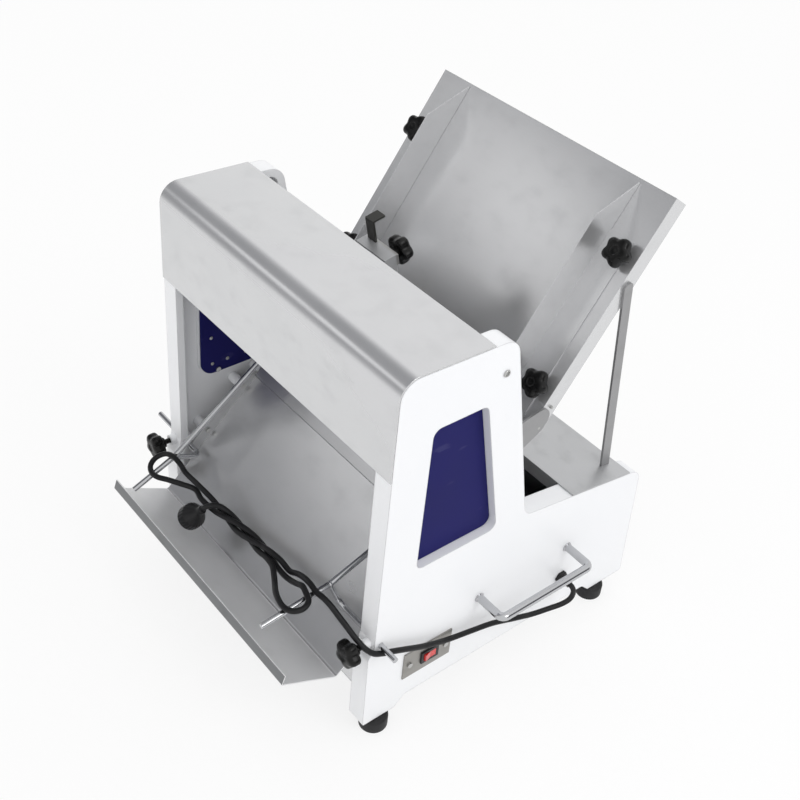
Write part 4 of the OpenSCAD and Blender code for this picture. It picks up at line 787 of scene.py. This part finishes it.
for side in (-1, 1):
    inner = side * (tray_half - sheet_thickness)
    tray_shells += [slab(wall_corners, inner, side * tray_half),
                    slab(foot_corners, inner - side * foot_reach, inner, foot_edge)]
# The side walls take the darker dull steel as painted shade, standing in for their dark
# reflection; the feet under them are stainless.
wall_painted_shade_finishes = [dull_steel, stainless] * 2
outfeed_tray = make_piece("outfeed_tray_sheet", tray_shells,
                          [stainless, *wall_painted_shade_finishes, lip_painted_reflection_steel, hem_painted_shade_steel],
                          node="outfeed_tray")

# %% [markdown]
# The folded hem gets a darker finish than the ramp as painted shade, and the lip
# a lighter one as a painted reflection. Both belong to the one sheet, so their
# finishes go to its faces by where the faces' middles are.

# %% Lip with painted reflection and hem with painted shade
tray_mesh = outfeed_tray.data
middles = np.empty(3 * len(tray_mesh.polygons))
kinds = np.empty(len(tray_mesh.polygons), np.int32)
tray_mesh.polygons.foreach_get("center", middles)
tray_mesh.polygons.foreach_get("material_index", kinds)
hem_from = lip_edge[0] + 1.5 * MM
# Hem faces take the painted shade finish, and lip faces the painted reflection finish.
hem_painted_shade_faces = (middles[1::3] < hem_from) & (middles[2::3] > lip_edge[1] - 3 * MM)
lip_painted_reflection_faces = (middles[1::3] < valley[0] - 1 * MM) & ~hem_painted_shade_faces
kinds[lip_painted_reflection_faces] = len(tray_mesh.materials) - 2
kinds[hem_painted_shade_faces] = len(tray_mesh.materials) - 1
tray_mesh.polygons.foreach_set("material_index", kinds)
print("hem faces", int(hem_painted_shade_faces.sum()), "lip faces", int(lip_painted_reflection_faces.sum()))

# %% [markdown]
# ## Struts, brackets and small screws
# Two flat bars hold the chute up from the deck, and a cut plate on each side
# ties its flanges to the columns. The bars are plain laser-cut pieces with a
# small tab at the foot, so each is an outline with a thickness. The plates keep
# their CAD shape. The window panels show a row of small domed screws on their
# inner side.

# %% Struts
strut_in, strut_out, tab_reach = 222 * MM, 225.4 * MM, 14 * MM
strut_top, strut_low = np.array([206.9, 573.7]) * MM, np.array([247, 252.6]) * MM
strut_way = (strut_top - strut_low) / np.linalg.norm(strut_top - strut_low)
strut_half, strut_past = 7.6 * MM, 6 * MM
strut_side = np.array([-strut_way[1], strut_way[0]]) * strut_half
strut_end = strut_top + strut_way * strut_past
strut_corners = [(*(strut_end + strut_side), 5 * MM), (*(strut_end - strut_side), 5 * MM),
                 (*(strut_low - strut_side), 0.6 * MM), (*(strut_low + strut_side), 0.6 * MM)]
tab_corners = [(239.4 * MM, 250.9 * MM, 0.5 * MM), (254.6 * MM, 249.3 * MM, 0.5 * MM),
               (254.6 * MM, 252.3 * MM, 0.5 * MM), (239.4 * MM, 253.9 * MM, 0.5 * MM)]
strut_shells = []
for side in (-1, 1):
    strut_shells += [slab(strut_corners, side * strut_in, side * strut_out),
                     slab(tab_corners, side * (strut_in - tab_reach), side * strut_out)]
make_piece("chute_stays", strut_shells, strut_steel, node="chute_struts")

# %% Window panel screws
panel_face = 239 * MM
small_head = np.array([[2.2, -1.5], [2.6, 0], [2.9, 0.3], [2.7, 1.0], [1.9, 1.6], [0.3, 1.9]]) * MM
screw_places = np.array([[-126, 298], [-100, 298], [-68, 298], [-36, 298], [-8, 298],
                         [-127, 345], [-128, 395]]) * MM
screw_shells = [turned(small_head, (side * panel_face, *place), (-side, 0, 0), sides=20)
                for side in (-1, 1) for place in screw_places]
make_piece("panel_inner_screws", screw_shells, zinc)

# %% [markdown]
# ## Star knobs
# Seven glossy moulded knobs clamp the guides and the hold-down. Each has a
# short collar, five broad soft lobes and a low crown with a small dimple. A
# lathe alone can't make lobes, so the radius of each circle also shrinks
# between the lobes, by a share that fades out towards the middle of the knob.

# %% Knobs
collar_radius, stud_radius = 8 * MM, 4 * MM
star_rows = np.array([
    [16.0, 6.4], [18.4, 6.9], [19.7, 8.2], [20.2, 10.0], [20.3, 12.5], [20.3, 15.0],
    [20.0, 17.4], [19.2, 19.5], [17.8, 21.1], [15.6, 22.3], [12.8, 23.0], [9.6, 23.3],
    [7.2, 23.4], [6.4, 23.3], [5.9, 22.7], [4.4, 22.2], [0.4, 22.0]]) * MM
lobe_count, valley_depth, valley_power = 5, 0.21, 1.15
full_radius = 15 * MM


def knob_shell(centre, axis, stud_length, phase=0.0):
    """Stud, collar and star as one turned surface. On the star's rows the radius
    is multiplied by one less the valley depth times a wave, which is 0 on the
    lobes and 1 between them. Below the full radius it fades with its square."""
    stem = np.array([[stud_radius - 0.8 * MM, -stud_length],
                     [stud_radius, 0.8 * MM - stud_length], [stud_radius, 0],
                     [collar_radius - 0.5 * MM, 0], [collar_radius, 0.5 * MM],
                     [collar_radius, 6.4 * MM]])
    profile = np.vstack([stem, star_rows])
    share = np.where(np.arange(len(profile)) < len(stem), 0,
                     np.minimum(1, (profile[:, 0] / full_radius) ** 2))

    def lobes(angle, row):
        """Share of the radius that is left at this angle on this row."""
        wave = 0.5 - 0.5 * np.cos(lobe_count * (angle + phase))
        return 1 - valley_depth * share[row] * wave ** valley_power

    return turned(profile, centre, axis, lobes, sides=100)


chute_tilt = math.radians(55)
chute_top = np.array([0, 267, 683]) * MM
down_chute = np.array([0, -math.cos(chute_tilt), -math.sin(chute_tilt)])
off_chute = np.array([0, -math.sin(chute_tilt), math.cos(chute_tilt)])
clamp_x, knob_base = 200 * MM, 1.8 * MM
hub_x, hub_y, hub_z = 243 * MM, -211 * MM, 181 * MM
chute_stud, bracket_stud, hub_stud = 10.1 * MM, 18 * MM, 24 * MM


def star_knob(name, body, place, axis, stud_length, phase=0.0):
    """Star knob on a stud, in place of the CAD node that has its body's name."""
    make_piece(name, [knob_shell(place, axis, stud_length, phase)], knob_plastic,
               body=body, node=body)


for side, side_name in ((1, "right"), (-1, "left")):
    for row_name, reach in (("upper", 93 * MM), ("lower", 288 * MM)):
        place = chute_top + down_chute * reach + off_chute * knob_base
        place[0] = side * clamp_x
        star_knob(f"chute_star_{side_name}_{row_name}",
                  f"chute_knob_{side_name}_{row_name}", place, off_chute, chute_stud)
    star_knob(f"outfeed_star_{side_name}", f"outfeed_knob_{side_name}",
              (side * hub_x, hub_y, hub_z), (0, -1, 0), hub_stud)

blade_lean = math.radians(12.28)
rearward = np.array([0, math.cos(blade_lean), math.sin(blade_lean)])
upward = np.array([0, -math.sin(blade_lean), math.cos(blade_lean)])
bar_middle = np.array([0, -27.6, 555]) * MM
hold_reach, hold_rise, hold_x = 30 * MM, 15 * MM, 5 * MM
hold_place = bar_middle + hold_reach * rearward + hold_rise * upward
hold_place[0] = hold_x
star_knob("hold_down_star", "hold_down_knob", hold_place, rearward, bracket_stud, math.pi)

# %% [markdown]
# ## Handles, feet and bolts
# The carry handles are bent round bar. A circle is carried along a path of
# straight lines and quarter arcs. The feet are turned rubber pads with soft
# edges, and the bar bolts show as small domed heads with a socket.

# %% Carry handles
handle_radius, handle_bend, handle_reach = 6 * MM, 9 * MM, 47 * MM
handle_rear, handle_front, handle_z = 160 * MM, -10 * MM, 163 * MM
bolted_x = plate_half - 8 * MM
bend_x, bend_steps = plate_half + handle_reach - handle_bend, 14
rear_arc = arc((bend_x, handle_rear - handle_bend), handle_bend, 90, 0, bend_steps)
front_arc = arc((bend_x, handle_front + handle_bend), handle_bend, 0, -90, bend_steps)
straight = np.linspace(0, 1, 5)[:-1, None]
leg_start, leg_end = np.array([bolted_x, handle_rear]), np.array([bolted_x, handle_front])
handle_path = np.vstack([
    leg_start + (rear_arc[0] - leg_start) * straight, rear_arc,
    front_arc, leg_end + (front_arc[-1] - leg_end) * straight[::-1]])
ring_rows = np.array([[6, -4], [7.0, 0], [7.6, 0.3], [7.7, 0.9], [7.3, 1.5], [6.1, 1.9]]) * MM
handle_shells = []
for side in (-1, 1):
    path = np.column_stack([side * handle_path[:, 0], handle_path[:, 1],
                            np.full(len(handle_path), handle_z)])
    handle_shells.append(along(path, handle_radius))
    for foot_y in (handle_rear, handle_front):
        handle_shells.append(turned(ring_rows, (side * plate_half, foot_y, handle_z),
                                    (side, 0, 0)))
make_piece("carry_bars", handle_shells, chrome, node="carry_handles")

# %% Feet
foot_rows = np.array([
    [0.5, 1.6], [11.5, 1.6], [12.2, 0.4], [13.0, 0], [18.6, 0], [19.8, 0.5], [20.4, 1.6],
    [20.5, 3.2], [20.5, 18], [20.2, 20], [19.2, 21.6], [17, 22.8], [14, 23.4],
    [12.5, 26], [0.5, 26]]) * MM
foot_x, foot_front, foot_rear = 243 * MM, -172 * MM, 255 * MM
foot_shells = [turned(foot_rows, (side * foot_x, foot_y, 0), (0, 0, 1))
               for side in (-1, 1) for foot_y in (foot_front, foot_rear)]
make_piece("rubber_pads", foot_shells, rubber, node="feet")

# %% Bar bolts
bolt_rows = np.array([
    [4, -48], [4, 0], [4.9, 0.1], [5.1, 0.5], [4.9, 1.4], [4.2, 2.2], [3.3, 2.5],
    [3.0, 2.2], [2.8, 0.4], [0.3, 0.3]]) * MM
bolt_shells = [turned(bolt_rows, bar_middle + np.array([side * plate_half, 0, 0]),
                      (side, 0, 0)) for side in (-1, 1)]
make_piece("bar_bolts", bolt_shells, zinc, node="upper_bar_bolts", crease=50)

# %% [markdown]
# ## Stage and light
# A large pale floor carries the machine, under a white sky. Stainless sheet
# shows what stands round it, so the sky has two soft dark areas, one at the front
# left and one at the rear right, and a bright card with soft edges stands at the
# front left, as a photographer would set them up. Only shiny surfaces see these.
# What the camera and shiny metal see of the floor is lifted towards white with
# Light Path, and the diffuse part under it keeps the soft shadow.

# %% Floor
floor_reach, floor_lift = 8.0, 0.8
floor_mesh = bpy.data.meshes.new("studio_floor")
floor_mesh.from_pydata(
    [(-floor_reach, -floor_reach, 0), (floor_reach, -floor_reach, 0),
     (floor_reach, floor_reach, 0), (-floor_reach, floor_reach, 0)], [], [(0, 1, 2, 3)])
studio_floor = bpy.data.objects.new("studio_floor", floor_mesh)
bpy.context.scene.collection.objects.link(studio_floor)

floor_finish = Finish("floor_paint", roughness=0.9)
floor_cloud = floor_finish.noise(0.8, 3)
floor_finish.feed(colour=floor_finish.mix(floor_cloud, (0.88, 0.88, 0.88), (0.9, 0.9, 0.9)))
seen_camera = floor_finish.node("ShaderNodeLightPath", output="Is Camera Ray")
seen_glossy = floor_finish.node("ShaderNodeLightPath", output="Is Glossy Ray")
seen_through = floor_finish.node("ShaderNodeLightPath", output="Is Transmission Ray")
seen = floor_finish.node("ShaderNodeMath", {"operation": "ADD", "use_clamp": True},
                         {0: seen_camera + seen_glossy, 1: seen_through})
floor_paint = Value(floor_finish, floor_finish.shader.outputs[0])
floor_mesh.materials.append(floor_finish.glow(seen * floor_lift, floor_paint, 1.0))
print("floor", 2 * floor_reach, "m square")

# %% World
world = bpy.data.worlds.new("studio")
bpy.context.scene.world = world
world.use_nodes = True
sky = Nodes(world.node_tree)
background = next(n for n in sky.tree.nodes if n.type == "BACKGROUND")
sky_way = sky.node("ShaderNodeTexCoord", output="Generated")
seen_shiny = sky.node("ShaderNodeLightPath", output="Is Glossy Ray")
sky_white, sky_strength = (1.0, 1.0, 1.0), 0.97


def dark_side(before, direction, start, full, tone):
    """Colour before, darkened to tone in a round soft area of the sky: the
    cosine to its direction goes from start at its edge to full inside."""
    direction = np.array(direction) / np.linalg.norm(direction)
    cosine = sky.node("ShaderNodeVectorMath", {"operation": "DOT_PRODUCT"},
                      {0: sky_way, 1: direction}, output="Value")
    return sky.mix(cosine.step(start, full), before, tone)


front_left = dark_side(sky_white, (-0.584, -0.45, 0.67), 0.55, 0.92, (0.2, 0.205, 0.22))
both_dark = dark_side(front_left, (0.82, 0.5, 0.12), 0.84, 0.97, (0.12, 0.12, 0.13))
sky_colour = sky.mix(seen_shiny, sky_white, both_dark)
sky.tree.links.new(sky_colour.socket, background.inputs["Color"])
background.inputs["Strength"].default_value = sky_strength
print("sky strength", sky_strength)

# %% Bright card
card_middle = np.array([-1.20, -1.37, 1.58])
card_along = np.array([0.77, -0.64, 0])
card_up = np.array([0, 0, 1.0])
card_half_width, card_half_height = 0.9, 0.38
card_strength, card_core = 1.2, 0.3
card_corners = [card_middle + a * card_half_width * card_along + b * card_half_height * card_up
                for a, b in ((-1, -1), (1, -1), (1, 1), (-1, 1))]
card_mesh = bpy.data.meshes.new("bright_card")
card_mesh.from_pydata([tuple(map(float, p)) for p in card_corners], [], [(0, 1, 2, 3)])
bright_card = bpy.data.objects.new("bright_card", card_mesh)
bpy.context.scene.collection.objects.link(bright_card)
bright_card.visible_camera = False
bright_card.visible_diffuse = False
bright_card.visible_shadow = False

card_finish = Finish("card_glow")
card_place = card_finish.node(
    "ShaderNodeVectorMath", {"operation": "SUBTRACT"},
    {0: card_finish.place, 1: tuple(map(float, card_middle))})
card_side = card_finish.node(
    "ShaderNodeVectorMath", {"operation": "DOT_PRODUCT"},
    {0: card_place, 1: tuple(map(float, card_along))}, output="Value") * (1 / card_half_width)
card_rise = card_finish.node(
    "ShaderNodeVectorMath", {"operation": "DOT_PRODUCT"},
    {0: card_place, 1: tuple(map(float, card_up))}, output="Value") * (1 / card_half_height)
card_far = (card_side ** 2.0 + card_rise ** 2.0) ** 0.5
card_clear = card_finish.node("ShaderNodeBsdfTransparent")
card_mesh.materials.append(
    card_finish.glow(1 - card_far.step(card_core, 1.0), card_clear, card_strength))
print("card at", card_middle)


# %% [markdown]
# One weak area lamp at the right rear, square and facing the machine, gives the
# right plate a little more light than the front.

# %% Lamp
lamp_place, lamp_aim = np.array([2.6, 0.6, 2.6]), np.array([0, 0, 0.3])
lamp_size, lamp_power = 1.6, 22
lamp_data = bpy.data.lights.new("side_lamp", "AREA")
lamp_data.size = lamp_size
lamp_data.energy = lamp_power
lamp = bpy.data.objects.new("side_lamp", lamp_data)
bpy.context.scene.collection.objects.link(lamp)
lamp_turn = Matrix(frame_of(lamp_place - lamp_aim)).transposed().to_4x4()
lamp.matrix_world = Matrix.Translation(lamp_place) @ lamp_turn
bpy.context.scene.view_settings.view_transform = "Standard"
print("lamp at", lamp_place)
